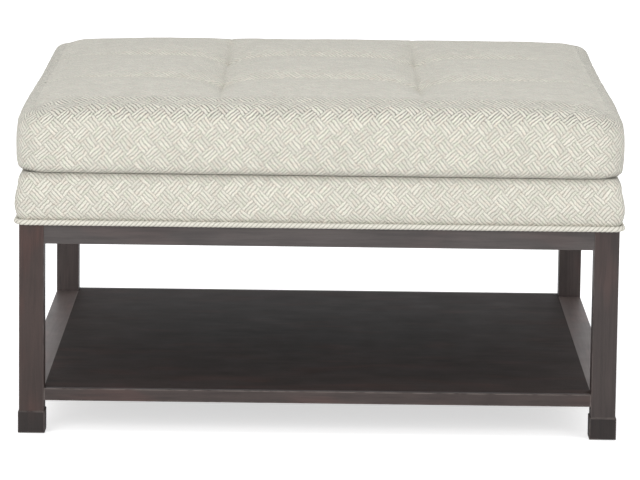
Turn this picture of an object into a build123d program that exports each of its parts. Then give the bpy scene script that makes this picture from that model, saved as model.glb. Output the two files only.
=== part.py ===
from build123d import *
import math
import os

os.makedirs("parts", exist_ok=True)

# Square ottoman coffee table. A dark wood leg frame with a low shelf carries an upholstered
# deck with a welt round its foot, and on the deck lies a biscuit-tufted cushion.
# Millimetres. X runs left to right, Y from front to rear, Z up.
# The origin is on the floor, under the middle of the table.

# Leg frame
table_width = 914.0  # over the outer faces of the legs
table_depth = 914.0
frame_height = 324.0  # floor to the top of the legs and aprons
leg_side = 38.0
leg_ease = 1.0  # rounding of the long edges of legs and aprons
apron_height = 29.0
apron_thickness = 22.0
tenon_thickness = 8.0
tenon_height = 19.0
tenon_length = 18.0
glue_gap = 0.1  # all round a tenon or a dowel
glue_room = 1.0  # past the end of a tenon or a dowel

# Feet
foot_block_height = 33.5
foot_block_step = 1.6  # how far a block stands out past its leg
foot_block_ease = 1.4
foot_dowel_radius = 5.0
foot_dowel_length = 36.0
glide_radius = 11.0
glide_thickness = 1.5
glide_ease = 0.4
glide_pin_radius = 1.6
glide_pin_length = 12.0

# Corner blocks of the leg frame
corner_block_reach = 60.0  # along each apron, from the leg
corner_block_height = 24.0

# Shelf
shelf_underside = 52.0  # over the floor
shelf_thickness = 19.0
shelf_ease = 1.0
edging_width = 10.0
edging_tongue_thickness = 6.0
edging_tongue_length = 5.0
shelf_dowel_radius = 4.0
shelf_dowel_length = 30.0
rail_dowel_spacing = 19.0
panel_dowel_count = 4
panel_dowel_end = 70.0  # from the end of a side rail to the first dowel

# Deck box
deck_setback = 7.0  # deck rails behind the faces of the legs
deck_rail_thickness = 18.0
deck_rail_height = 66.5
deck_rebate = 8.0  # depth of the corner rebates
deck_corner_round = 6.0
deck_block_reach = 58.0
deck_block_height = 58.0
deck_board_thickness = 12.0
deck_brace_thickness = 18.0
deck_brace_height = 60.0
deck_brace_housing = 6.0
dust_cover_thickness = 0.5
dust_cover_margin = 6.0  # behind the outer faces of the deck rails

# Fabric and padding of the deck border, measured outwards from the deck rails
cover_thickness = 1.0
border_foot_out = 7.0
border_belly_out = 14.2
border_shoulder_out = 12.4
border_roll = 12.0
soft_clearance = 0.3
welt_radius = 3.2

# Cushion
cushion_overhang = 7.0  # past the outer faces of the legs
cushion_corner_radius = 45.0
cushion_edge_rise = 105.5  # from the foot of the cushion to its rolled top edge
cushion_top_roll = 20.0
cushion_foot_roll = 9.0
cushion_draw_in = 1.5  # sides at the rolls, behind their fullest line
shoulder_rise = 5.0  # a panel where the corners begin to turn, over the top edge
shoulder_seam_sink = 4.0  # a seam there, under the panels
panel_rise = 15.0  # crown of a panel over the top edge
seam_sink = 10.0  # the middle of a seam under the crown
tuft_sink = 22.0  # a tuft under the crown
edge_scallop = 2.5  # dip of the top edge where a seam runs out
cushion_board_thickness = 12.0
cushion_wrap = 12.0  # soft wrap beside the board
cushion_turn_in = 40.0  # cover stapled under the board
tuft_twine_radius = 1.0
tuft_hole_radius = 2.0
toggle_radius = 8.0
toggle_thickness = 2.2
toggle_recess = 2.8

# Screws
screw_radius = 2.1
screw_head_radius = 4.3
screw_head_height = 2.4
screw_fit = 0.1
screw_tip_room = 2.0
pocket_radius = 5.5
frame_screw_length = 28.0
frame_screw_grip = 12.0  # wood of a corner block under a screw's head
fixing_screw_length = 42.0
fixing_screw_recess = 10.0
deck_rail_screw_length = 45.0
deck_board_screw_length = 40.0
deck_board_screw_end = 90.0  # from the corner of the deck to its first screw
cushion_screw_length = 20.0
cushion_screw_inset = 110.0  # behind the edge of the cushion board

overrun = 4.0  # every cut that leaves a face starts this far outside it

# Heights over the floor, and half sizes, that several pieces share
block_top = glide_thickness + foot_block_height
leg_length = frame_height - block_top
apron_mid = frame_height - apron_height / 2
shelf_mid = shelf_underside + shelf_thickness / 2
half_width = table_width / 2
half_depth = table_depth / 2
run_width = table_width - 2 * leg_side
run_depth = table_depth - 2 * leg_side
leg_x = half_width - leg_side / 2
leg_y = half_depth - leg_side / 2
deck_foot = frame_height + dust_cover_thickness
deck_half_width = half_width - deck_setback
deck_half_depth = half_depth - deck_setback
cushion_width = table_width + 2 * cushion_overhang
cushion_depth = table_depth + 2 * cushion_overhang
deck_board_foot = deck_foot + deck_rail_height
deck_board_top = deck_board_foot + deck_board_thickness
deck_top = deck_board_top + cover_thickness
cushion_foot = deck_top
cushion_board_foot = cushion_foot + cover_thickness
cushion_board_top = cushion_board_foot + cushion_board_thickness
board_half_width = cushion_width / 2 - cushion_wrap
board_half_depth = cushion_depth / 2 - cushion_wrap
seam_x = cushion_width / 6
seam_y = cushion_depth / 6

# The four sides as outward directions, and the four corners as signs of X and Y
sides = {"front": (0, -1), "right": (1, 0), "rear": (0, 1), "left": (-1, 0)}
corners = {
    "front_left": (-1, -1),
    "front_right": (1, -1),
    "rear_left": (-1, 1),
    "rear_right": (1, 1),
}


def facing(side, out, along=0.0, height=0.0):
    """Upright plane that faces outwards on a side: X level, Y up, at a distance from the middle."""
    nx, ny = side
    origin = (nx * out - ny * along, ny * out + nx * along, height)
    return Plane(origin=origin, x_dir=(-ny, nx, 0), z_dir=(nx, ny, 0))


def across(side, value_x, value_y):
    """The one of two values that belongs to a side: the first for left and right."""
    return value_x if side[0] else value_y


def half_table(side):
    return across(side, half_width, half_depth)


def half_deck(side):
    return across(side, deck_half_width, deck_half_depth)


def run_between_legs(side):
    return across(side, run_depth, run_width)


def level_axis(side):
    """The axis that runs along a side."""
    return across(side, Axis.Y, Axis.X)


def screws_at(planes, length):
    """Countersunk screws with their head flush in each plane, driven against its normal."""
    top = (Align.CENTER, Align.CENTER, Align.MAX)
    with Locations(*planes):
        Cylinder(screw_radius, length, align=top)
        Cone(screw_radius, screw_head_radius, screw_head_height, align=top)


def pilot_holes(planes, length):
    """Holes for the same screws, from the head's plane to just past the tip."""
    with Locations(*planes):
        Hole(screw_radius + screw_fit, length + screw_tip_room)


def countersinks(planes):
    """Seats for the screws' heads."""
    with Locations(*planes):
        Cone(
            screw_radius + screw_fit,
            screw_head_radius + screw_fit,
            screw_head_height,
            align=(Align.CENTER, Align.CENTER, Align.MAX),
            mode=Mode.SUBTRACT,
        )


def pockets(planes, depth):
    """Round pockets that let a screw's head in below the face, as deep as given."""
    for plane in planes:
        with BuildSketch(plane) as mouth:
            Circle(pocket_radius)
        extrude(mouth.sketch, amount=depth, mode=Mode.SUBTRACT)


def dowels_at(planes, radius, length):
    """Dowels centred on each plane, along its normal."""
    for plane in planes:
        with BuildSketch(plane) as end:
            Circle(radius)
        extrude(end.sketch, amount=length / 2, both=True)


def dowel_holes(planes, radius, length):
    """Holes for half a dowel each way from each plane."""
    for plane in planes:
        with BuildSketch(plane) as mouth:
            Circle(radius + glue_gap)
        extrude(mouth.sketch, amount=length / 2 + glue_room, both=True, mode=Mode.SUBTRACT)


def beside(planes, sx, sy=0):
    """Those planes that lie on the given side or sides of the middle."""
    return [p for p in planes if p.origin.X * sx >= 0 and p.origin.Y * sy >= 0]


# Where the dowels and screws stand. The plane of a dowel is the joint's face.
foot_dowel_planes = [
    Plane(origin=(sx * leg_x, sy * leg_y, block_top)) for sx, sy in corners.values()
]
rail_dowel_planes = [
    Plane(
        origin=(sx * leg_x + shift, sy * run_depth / 2, shelf_mid),
        x_dir=(1, 0, 0),
        z_dir=(0, sy, 0),
    )
    for sx, sy in corners.values()
    for shift in (-rail_dowel_spacing / 2, rail_dowel_spacing / 2)
]
panel_dowel_pitch = (run_depth - 2 * panel_dowel_end) / (panel_dowel_count - 1)
panel_dowel_planes = [
    facing(sides[name], run_width / 2, panel_dowel_pitch * (i - (panel_dowel_count - 1) / 2), shelf_mid)
    for name in ("left", "right")
    for i in range(panel_dowel_count)
]

# Two screws hold each corner block to its aprons, heads in pockets on the slanted face.
frame_screw_height = frame_height - corner_block_height / 2
frame_screws = {}
for name, side in sides.items():
    seat = half_table(side) - apron_thickness - frame_screw_grip
    along = run_between_legs(side) / 2 - corner_block_reach / 2
    inward = (-side[0], -side[1])
    frame_screws[name] = [
        facing(inward, -seat, end * along, frame_screw_height) for end in (-1, 1)
    ]
all_frame_screws = sum(frame_screws.values(), [])

# The deck is held from below: one screw through each corner block and one through each apron.
corner_fixing_setback = leg_side + 2 * screw_head_radius
corner_fixings = [
    Plane(
        origin=(
            sx * (half_width - corner_fixing_setback),
            sy * (half_depth - corner_fixing_setback),
            frame_height - corner_block_height + fixing_screw_recess,
        ),
        z_dir=(0, 0, -1),
    )
    for sx, sy in corners.values()
]
apron_fixing_setback = (deck_setback + apron_thickness) / 2
apron_fixings = {
    name: Plane(
        origin=(
            side[0] * (half_width - apron_fixing_setback),
            side[1] * (half_depth - apron_fixing_setback),
            frame_height - apron_height + fixing_screw_recess,
        ),
        z_dir=(0, 0, -1),
    )
    for name, side in sides.items()
}
all_fixings = corner_fixings + list(apron_fixings.values())

# The front and rear deck rails are screwed to the ends of the side rails, two screws a corner.
rail_screw_out = deck_half_width - deck_corner_round - screw_head_radius
rail_screw_rise = deck_rail_height / 4
rail_screws = [
    facing(sides[name], deck_half_depth, end * rail_screw_out, deck_foot + level * rail_screw_rise)
    for name in ("front", "rear")
    for end in (-1, 1)
    for level in (1, 3)
]

# The deck board is screwed down on the rails, two screws a side.
board_screws = {}
for name, side in sides.items():
    out = half_deck(side) - deck_rail_thickness / 2
    along = across(side, deck_half_depth, deck_half_width) - deck_board_screw_end
    board_screws[name] = [
        Plane(
            origin=(
                side[0] * out - side[1] * end * along,
                side[1] * out + side[0] * end * along,
                deck_board_top,
            )
        )
        for end in (-1, 1)
    ]
all_board_screws = sum(board_screws.values(), [])

# The cushion is screwed on from under the deck board.
cushion_screws_at = [
    Plane(
        origin=(
            sx * (board_half_width - cushion_screw_inset),
            sy * (board_half_depth - cushion_screw_inset),
            deck_board_foot,
        ),
        z_dir=(0, 0, -1),
    )
    for sx, sy in corners.values()
]
tuft_spots = [(sx * seam_x, sy * seam_y) for sx, sy in corners.values()]

# Feet: a block under each leg, a little larger than the leg, with a nailed glide.
for corner, (sx, sy) in corners.items():
    with BuildPart() as foot_block:
        with BuildSketch(Plane.XY.offset(glide_thickness)):
            with Locations((sx * leg_x, sy * leg_y)):
                Rectangle(leg_side + 2 * foot_block_step, leg_side + 2 * foot_block_step)
        extrude(amount=foot_block_height)
        fillet(foot_block.edges().filter_by(Axis.Z), foot_block_ease)
        fillet(foot_block.edges().group_by(Axis.Z)[-1], foot_block_ease)
        dowel_holes(
            [Plane(origin=(sx * leg_x, sy * leg_y, block_top))], foot_dowel_radius, foot_dowel_length
        )
        with Locations(Plane(origin=(sx * leg_x, sy * leg_y, glide_thickness), z_dir=(0, 0, -1))):
            Hole(glide_pin_radius + glue_gap, glide_pin_length + glue_room)
    foot_block.part.label = "foot_block_" + corner
    export_step(foot_block.part, "parts/foot_block_" + corner + ".step")

with BuildPart() as foot_glides:
    with BuildSketch() as discs:
        with GridLocations(2 * leg_x, 2 * leg_y, 2, 2):
            Circle(glide_radius)
    extrude(amount=glide_thickness)
    chamfer(foot_glides.edges().group_by(Axis.Z)[0], glide_ease)
    with BuildSketch(Plane.XY.offset(glide_thickness)):
        with GridLocations(2 * leg_x, 2 * leg_y, 2, 2):
            Circle(glide_pin_radius)
    extrude(amount=glide_pin_length)
foot_glides.part.label = "foot_glides"
export_step(foot_glides.part, "parts/foot_glides.step")

with BuildPart() as foot_dowels:
    dowels_at(foot_dowel_planes, foot_dowel_radius, foot_dowel_length)
foot_dowels.part.label = "foot_dowels"
export_step(foot_dowels.part, "parts/foot_dowels.step")

# Legs: square, with a mortise for the tenon of each apron and holes for the dowels of a side rail.
tenon_out = apron_thickness / 2  # middle of a tenon behind the leg's face
mortise_width = tenon_thickness + 2 * glue_gap
mortise_height = tenon_height + 2 * glue_gap
for corner, (sx, sy) in corners.items():
    with BuildPart() as leg:
        with BuildSketch(Plane.XY.offset(block_top)):
            with Locations((sx * leg_x, sy * leg_y)):
                Rectangle(leg_side, leg_side)
        extrude(amount=leg_length)
        fillet(leg.edges().filter_by(Axis.Z), leg_ease)
        inner_face_x = Plane(
            origin=(sx * run_width / 2, sy * (half_depth - tenon_out), apron_mid),
            x_dir=(0, 1, 0),
            z_dir=(-sx, 0, 0),
        )
        inner_face_y = Plane(
            origin=(sx * (half_width - tenon_out), sy * run_depth / 2, apron_mid),
            x_dir=(1, 0, 0),
            z_dir=(0, -sy, 0),
        )
        for inner_face in (inner_face_x, inner_face_y):
            with BuildSketch(inner_face):
                Rectangle(mortise_width, mortise_height)
            extrude(amount=-tenon_length - glue_room, mode=Mode.SUBTRACT)
        dowel_holes(
            [Plane(origin=(sx * leg_x, sy * leg_y, block_top))], foot_dowel_radius, foot_dowel_length
        )
        dowel_holes(beside(rail_dowel_planes, sx, sy), shelf_dowel_radius, shelf_dowel_length)
    leg.part.label = "leg_" + corner
    export_step(leg.part, "parts/leg_" + corner + ".step")

# Aprons: flush with the outer faces and the tops of the legs, with a tenon at each end.
for name, side in sides.items():
    outer_face = facing(side, half_table(side), height=apron_mid)
    with BuildPart() as apron:
        with BuildSketch(outer_face):
            Rectangle(run_between_legs(side), apron_height)
        extrude(amount=-apron_thickness)
        lower_edges = apron.edges().filter_by(level_axis(side)).group_by(Axis.Z)[0]
        fillet(lower_edges, leg_ease)
        with BuildSketch(outer_face.offset((tenon_thickness - apron_thickness) / 2)):
            Rectangle(run_between_legs(side) + 2 * tenon_length, tenon_height)
        extrude(amount=-tenon_thickness)
        pilot_holes([apron_fixings[name]], fixing_screw_length)
        pockets([apron_fixings[name]], fixing_screw_recess + overrun)
        countersinks([apron_fixings[name]])
        pilot_holes(frame_screws[name], frame_screw_length)
    apron.part.label = "apron_" + name
    export_step(apron.part, "parts/apron_" + name + ".step")

# Corner blocks: triangles in plan, notched round the leg, glued and screwed behind the aprons.
for corner, (sx, sy) in corners.items():
    outline = [
        (leg_side, apron_thickness),
        (leg_side + corner_block_reach, apron_thickness),
        (apron_thickness, leg_side + corner_block_reach),
        (apron_thickness, leg_side),
        (leg_side, leg_side),
    ]
    with BuildPart() as corner_block:
        with BuildSketch(Plane.XY.offset(frame_height)):
            with BuildLine():
                Polyline(
                    *[(sx * (half_width - u), sy * (half_depth - v)) for u, v in outline], close=True
                )
            make_face()
        extrude(amount=-corner_block_height)
        near = beside(all_frame_screws, sx, sy)
        pilot_holes(near, frame_screw_length)
        pockets(near, corner_block_reach)
        countersinks(near)
        near_fixing = beside(corner_fixings, sx, sy)
        pilot_holes(near_fixing, fixing_screw_length)
        pockets(near_fixing, fixing_screw_recess + overrun)
        countersinks(near_fixing)
    corner_block.part.label = "corner_block_" + corner
    export_step(corner_block.part, "parts/corner_block_" + corner + ".step")

with BuildPart() as corner_block_screws:
    screws_at(all_frame_screws, frame_screw_length)
corner_block_screws.part.label = "corner_block_screws"
export_step(corner_block_screws.part, "parts/corner_block_screws.step")

with BuildPart() as deck_fixing_screws:
    screws_at(all_fixings, fixing_screw_length)
deck_fixing_screws.part.label = "deck_fixing_screws"
export_step(deck_fixing_screws.part, "parts/deck_fixing_screws.step")

# Shelf: side rails as wide as the legs, dowelled between them, and a veneered panel between
# the rails and legs, with a solid edging front and rear that lies flush with the legs.
for name in ("left", "right"):
    side = sides[name]
    with BuildPart() as shelf_rail:
        with BuildSketch(Plane.XY.offset(shelf_underside)):
            with Locations((side[0] * leg_x, 0)):
                Rectangle(leg_side, run_depth)
        extrude(amount=shelf_thickness)
        outer_edges = shelf_rail.edges().filter_by(Axis.Y).sort_by(Axis.X)
        fillet(outer_edges[:2] if side[0] < 0 else outer_edges[-2:], shelf_ease)
        own_dowels = beside(rail_dowel_planes + panel_dowel_planes, side[0])
        dowel_holes(own_dowels, shelf_dowel_radius, shelf_dowel_length)
    shelf_rail.part.label = "shelf_rail_" + name
    export_step(shelf_rail.part, "parts/shelf_rail_" + name + ".step")

panel_half_depth = half_depth - edging_width
with BuildPart() as shelf_panel:
    with BuildSketch(Plane.XY.offset(shelf_underside)):
        Rectangle(run_width, 2 * panel_half_depth)
    extrude(amount=shelf_thickness)
    for name in ("front", "rear"):
        with BuildSketch(facing(sides[name], panel_half_depth, height=shelf_mid)):
            Rectangle(run_width + 2 * overrun, edging_tongue_thickness + 2 * glue_gap)
        extrude(amount=-edging_tongue_length - glue_gap, mode=Mode.SUBTRACT)
    dowel_holes(panel_dowel_planes, shelf_dowel_radius, shelf_dowel_length)
shelf_panel.part.label = "shelf_panel"
export_step(shelf_panel.part, "parts/shelf_panel.step")

for name in ("front", "rear"):
    side = sides[name]
    with BuildPart() as shelf_edging:
        with BuildSketch(facing(side, half_depth, height=shelf_mid)):
            Rectangle(run_width, shelf_thickness)
        extrude(amount=-edging_width)
        outer_edges = shelf_edging.edges().filter_by(Axis.X).sort_by(Axis.Y)
        fillet(outer_edges[:2] if side[1] < 0 else outer_edges[-2:], shelf_ease)
        with BuildSketch(facing(side, panel_half_depth, height=shelf_mid)):
            Rectangle(run_width, edging_tongue_thickness)
        extrude(amount=-edging_tongue_length)
    shelf_edging.part.label = "shelf_edging_" + name
    export_step(shelf_edging.part, "parts/shelf_edging_" + name + ".step")

with BuildPart() as shelf_rail_dowels:
    dowels_at(rail_dowel_planes, shelf_dowel_radius, shelf_dowel_length)
shelf_rail_dowels.part.label = "shelf_rail_dowels"
export_step(shelf_rail_dowels.part, "parts/shelf_rail_dowels.step")

with BuildPart() as shelf_panel_dowels:
    dowels_at(panel_dowel_planes, shelf_dowel_radius, shelf_dowel_length)
shelf_panel_dowels.part.label = "shelf_panel_dowels"
export_step(shelf_panel_dowels.part, "parts/shelf_panel_dowels.step")

# Deck box: front and rear rails rebated over the ends of the side rails, and housed for a brace.
side_rail_half = deck_half_depth - deck_rail_thickness + deck_rebate
for name in ("front", "rear"):
    side = sides[name]
    inner_face = facing(side, deck_half_depth - deck_rail_thickness, height=deck_foot)
    with BuildPart() as deck_rail:
        with BuildSketch(Plane.XY.offset(deck_foot)):
            with Locations((0, side[1] * (deck_half_depth - deck_rail_thickness / 2))):
                Rectangle(2 * deck_half_width, deck_rail_thickness)
        extrude(amount=deck_rail_height)
        upright_edges = deck_rail.edges().filter_by(Axis.Z).sort_by(Axis.Y)
        fillet(upright_edges[:2] if side[1] < 0 else upright_edges[-2:], deck_corner_round)
        with BuildSketch(Plane.XY.offset(deck_foot)):
            with Locations((0, side[1] * (side_rail_half - deck_rebate / 2))):
                with GridLocations(2 * deck_half_width - deck_rail_thickness, 0, 2, 1):
                    Rectangle(deck_rail_thickness, deck_rebate)
        extrude(amount=deck_rail_height, mode=Mode.SUBTRACT)
        with BuildSketch(inner_face):
            Rectangle(
                deck_brace_thickness + 2 * glue_gap,
                deck_rail_height,
                align=(Align.CENTER, Align.MIN),
            )
        extrude(amount=deck_brace_housing, mode=Mode.SUBTRACT)
        own_rail_screws = beside(rail_screws, 0, side[1])
        pilot_holes(own_rail_screws, deck_rail_screw_length)
        countersinks(own_rail_screws)
        pilot_holes(board_screws[name], deck_board_screw_length)
        pilot_holes([apron_fixings[name]], fixing_screw_length)
    deck_rail.part.label = "deck_rail_" + name
    export_step(deck_rail.part, "parts/deck_rail_" + name + ".step")

for name in ("left", "right"):
    side = sides[name]
    with BuildPart() as deck_side_rail:
        with BuildSketch(Plane.XY.offset(deck_foot)):
            with Locations((side[0] * (deck_half_width - deck_rail_thickness / 2), 0)):
                Rectangle(deck_rail_thickness, 2 * side_rail_half)
        extrude(amount=deck_rail_height)
        pilot_holes(beside(rail_screws, side[0]), deck_rail_screw_length)
        pilot_holes(board_screws[name], deck_board_screw_length)
        pilot_holes([apron_fixings[name]], fixing_screw_length)
    deck_side_rail.part.label = "deck_rail_" + name
    export_step(deck_side_rail.part, "parts/deck_rail_" + name + ".step")

with BuildPart() as deck_rail_screws:
    screws_at(rail_screws, deck_rail_screw_length)
deck_rail_screws.part.label = "deck_rail_screws"
export_step(deck_rail_screws.part, "parts/deck_rail_screws.step")

# Glue blocks in the corners of the deck box; the fixing screws end in them.
for corner, (sx, sy) in corners.items():
    inner_x = deck_half_width - deck_rail_thickness
    inner_y = deck_half_depth - deck_rail_thickness
    outline = [(0, 0), (deck_block_reach, 0), (0, deck_block_reach)]
    with BuildPart() as deck_corner_block:
        with BuildSketch(Plane.XY.offset(deck_foot)):
            with BuildLine():
                Polyline(*[(sx * (inner_x - u), sy * (inner_y - v)) for u, v in outline], close=True)
            make_face()
        extrude(amount=deck_block_height)
        pilot_holes(beside(corner_fixings, sx, sy), fixing_screw_length)
    deck_corner_block.part.label = "deck_corner_block_" + corner
    export_step(deck_corner_block.part, "parts/deck_corner_block_" + corner + ".step")

brace_half = deck_half_depth - deck_rail_thickness + deck_brace_housing
with BuildPart() as deck_brace:
    with BuildSketch(Plane.XY.offset(deck_board_foot)):
        Rectangle(deck_brace_thickness, 2 * brace_half)
    extrude(amount=-deck_brace_height)
deck_brace.part.label = "deck_brace"
export_step(deck_brace.part, "parts/deck_brace.step")

with BuildPart() as deck_board:
    with BuildSketch(Plane.XY.offset(deck_board_foot)):
        RectangleRounded(2 * deck_half_width, 2 * deck_half_depth, deck_corner_round)
    extrude(amount=deck_board_thickness)
    pilot_holes(all_board_screws, deck_board_screw_length)
    countersinks(all_board_screws)
    pilot_holes(cushion_screws_at, cushion_screw_length)
    countersinks(cushion_screws_at)
deck_board.part.label = "deck_board"
export_step(deck_board.part, "parts/deck_board.step")

with BuildPart() as deck_board_screws:
    screws_at(all_board_screws, deck_board_screw_length)
deck_board_screws.part.label = "deck_board_screws"
export_step(deck_board_screws.part, "parts/deck_board_screws.step")

# Dust cover: black cloth between the deck box and the leg frame, pierced by the fixing screws.
with BuildPart() as dust_cover:
    with BuildSketch(Plane.XY.offset(frame_height)):
        Rectangle(
            2 * (deck_half_width - dust_cover_margin),
            2 * (deck_half_depth - dust_cover_margin),
        )
    extrude(amount=dust_cover_thickness)
    pilot_holes(all_fixings, fixing_screw_length)
dust_cover.part.label = "dust_cover"
export_step(dust_cover.part, "parts/dust_cover.step")


# Border of the deck: a belly between a narrow foot and a rolled top edge, as a section
# measured outwards from the deck rails, with every outline inset from the cover's outer face.
def border_section(inset):
    """Closed outline from the rails' faces to the border's face."""
    foot = deck_foot + inset
    top = deck_top - inset
    roll = border_roll - inset
    roll_centre = (border_shoulder_out - border_roll, deck_top - border_roll)
    shoulder = (border_shoulder_out - inset, roll_centre[1])
    over_welt = (border_foot_out - inset, deck_foot + 2 * welt_radius + soft_clearance)
    with BuildLine() as outline:
        Polyline((0, top), (0, foot), (border_foot_out - inset, foot), over_welt)
        ThreePointArc(
            over_welt,
            (border_belly_out - inset, (deck_foot + roll_centre[1]) / 2),
            shoulder,
        )
        CenterArc(roll_centre, roll, 0, 90)
        Line((roll_centre[0], top), (0, top))
    return outline.edges()


def ring_path(out, height):
    """Level line round the deck at a distance outside its rails."""
    with BuildSketch(Plane.XY.offset(height)) as outline:
        RectangleRounded(
            2 * (deck_half_width + out), 2 * (deck_half_depth + out), deck_corner_round + out
        )
    return outline.sketch.face().outer_wire()


def ring_plane(path):
    """Plane across the start of a ring: X outwards, Y up, its origin on the floor."""
    start = path @ 0
    outward = (path % 0).cross(Vector(0, 0, 1))
    if outward.dot(start) < 0:
        outward = -outward
    return Plane(
        origin=(start.X, start.Y, 0), x_dir=outward, z_dir=outward.cross(Vector(0, 0, 1))
    )


deck_ring = ring_path(0, deck_foot)

for name, side in sides.items():
    with BuildPart() as border_pad:
        with BuildSketch(ring_plane(deck_ring)):
            make_face(border_section(cover_thickness + soft_clearance))
        sweep(path=deck_ring)
        if side[0]:
            split(bisect_by=facing(sides["rear"], deck_half_depth), keep=Keep.BOTTOM)
            split(bisect_by=facing(sides["front"], deck_half_depth), keep=Keep.BOTTOM)
            split(bisect_by=facing(side, 0), keep=Keep.TOP)
        else:
            split(bisect_by=facing(side, half_deck(side)), keep=Keep.TOP)
    border_pad.part.label = "border_pad_" + name
    export_step(border_pad.part, "parts/border_pad_" + name + ".step")

with BuildPart() as border_cover:
    with BuildSketch(ring_plane(deck_ring)):
        make_face(border_section(0))
        make_face(border_section(cover_thickness), mode=Mode.SUBTRACT)
    sweep(path=deck_ring)
border_cover.part.label = "border_cover"
export_step(border_cover.part, "parts/border_cover.step")

welt_ring = ring_path(border_foot_out + soft_clearance + welt_radius, deck_foot + welt_radius)
with BuildPart() as base_welt:
    with BuildSketch(ring_plane(welt_ring)):
        with Locations((0, deck_foot + welt_radius)):
            Circle(welt_radius)
    sweep(path=welt_ring)
base_welt.part.label = "base_welt"
export_step(base_welt.part, "parts/base_welt.step")


# Cushion: three columns of three panels between pulled-down seams, with a tuft at each crossing.
# It is drawn across as slices, each with a flat foot, rolled edges, full sides and three crowns.
def drawn_in(past, radius):
    """How far a quarter round has fallen back, at a distance past the point where it begins."""
    past = min(max(past, 0), radius)
    return radius - math.sqrt(radius**2 - past**2)


def cushion_slice(x, edge_rise, crown_rise, seam_rise, inset):
    """Outline across the cushion at x, from the rises of its top edge, crowns and seams."""
    half_x = cushion_width / 2 - inset
    top_roll = cushion_top_roll - inset
    foot_roll = cushion_foot_roll - inset
    corner = cushion_corner_radius - inset
    side_y = cushion_depth / 2 - inset - drawn_in(abs(x) - half_x + corner, corner)
    flank = side_y - cushion_draw_in
    drop = inset + drawn_in(abs(x) - half_x + top_roll, top_roll)
    foot = cushion_foot + inset + drawn_in(abs(x) - half_x + foot_roll, foot_roll)
    edge = cushion_foot + edge_rise - drop
    crown = cushion_foot + crown_rise - drop
    seam = cushion_foot + seam_rise - drop
    edge_y = flank - top_roll
    with BuildLine() as outline:
        CenterArc((flank - foot_roll, foot + foot_roll), foot_roll, -90, 90)
        ThreePointArc(
            (flank, foot + foot_roll), (side_y, (foot + edge) / 2), (flank, edge - top_roll)
        )
        CenterArc((edge_y, edge - top_roll), top_roll, 0, 90)
        ThreePointArc((edge_y, edge), ((edge_y + seam_y) / 2, crown), (seam_y, seam))
        mirror(about=Plane.YZ)
        ThreePointArc((seam_y, seam), (0, crown), (-seam_y, seam))
        Line((foot_roll - flank, foot), (flank - foot_roll, foot))
    return outline.edges()


crown_rise = cushion_edge_rise + panel_rise
crown_rises = (cushion_edge_rise, crown_rise, crown_rise - seam_sink)
seam_rises = (cushion_edge_rise - edge_scallop, crown_rise - seam_sink, crown_rise - tuft_sink)
shoulder_rises = (
    cushion_edge_rise,
    cushion_edge_rise + shoulder_rise,
    cushion_edge_rise + shoulder_rise - shoulder_seam_sink,
)
before_roll_shares = (0, 0.6)  # of the corner's turn up to where the foot begins to roll
in_roll_shares = (0, 0.4, 0.75, 1)  # of the rest of the quarter turn


def cushion_form(inset):
    """The whole tufted form, set in from the fabric's outer face."""
    half_x = cushion_width / 2 - inset
    corner = cushion_corner_radius - inset
    shoulder = half_x - corner
    roll_turn = math.asin((corner - cushion_foot_roll + inset) / corner)
    turns = [share * roll_turn for share in before_roll_shares]
    turns += [roll_turn + share * (math.pi / 2 - roll_turn) for share in in_roll_shares]
    middle = [(-seam_x, seam_rises), (0, crown_rises), (seam_x, seam_rises)]
    outer = [
        (seam_x, seam_rises),
        ((seam_x + shoulder) / 2, crown_rises),
        (shoulder, shoulder_rises),
    ]
    end = [(shoulder + corner * math.sin(turn), shoulder_rises) for turn in turns]
    with BuildPart() as form:
        for x, rises in end:
            with BuildSketch(Plane.YZ.offset(x)):
                make_face(cushion_slice(x, *rises, inset))
        loft(ruled=True)
        for x, rises in outer:
            with BuildSketch(Plane.YZ.offset(x)):
                make_face(cushion_slice(x, *rises, inset))
        loft()
        mirror(about=Plane.YZ)
        for x, rises in middle:
            with BuildSketch(Plane.YZ.offset(x)):
                make_face(cushion_slice(x, *rises, inset))
        loft()
    return form.part


with BuildPart() as cushion_board:
    with BuildSketch(Plane.XY.offset(cushion_board_foot)):
        RectangleRounded(
            2 * board_half_width, 2 * board_half_depth, cushion_corner_radius - cushion_wrap
        )
    extrude(amount=cushion_board_thickness)
    pilot_holes(cushion_screws_at, cushion_screw_length)
    with BuildSketch(Plane.XY.offset(cushion_board_foot)):
        with Locations(*tuft_spots):
            Circle(tuft_hole_radius)
    extrude(amount=cushion_board_thickness, mode=Mode.SUBTRACT)
    with BuildSketch(Plane.XY.offset(cushion_board_foot)):
        with Locations(*tuft_spots):
            Circle(toggle_radius + soft_clearance)
    extrude(amount=toggle_recess, mode=Mode.SUBTRACT)
cushion_board.part.label = "cushion_board"
export_step(cushion_board.part, "parts/cushion_board.step")

with BuildPart() as cushion_screws:
    screws_at(cushion_screws_at, cushion_screw_length)
cushion_screws.part.label = "cushion_screws"
export_step(cushion_screws.part, "parts/cushion_screws.step")

# The cover is stapled in a strip under the board and open inside that.
with BuildPart() as cushion_cover:
    add(cushion_form(0))
    add(cushion_form(cover_thickness), mode=Mode.SUBTRACT)
    with BuildSketch(Plane.XY.offset(cushion_foot)):
        Rectangle(
            2 * (board_half_width - cushion_turn_in), 2 * (board_half_depth - cushion_turn_in)
        )
    extrude(amount=cover_thickness, mode=Mode.SUBTRACT)
cushion_cover.part.label = "cushion_cover"
export_step(cushion_cover.part, "parts/cushion_cover.step")

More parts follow.
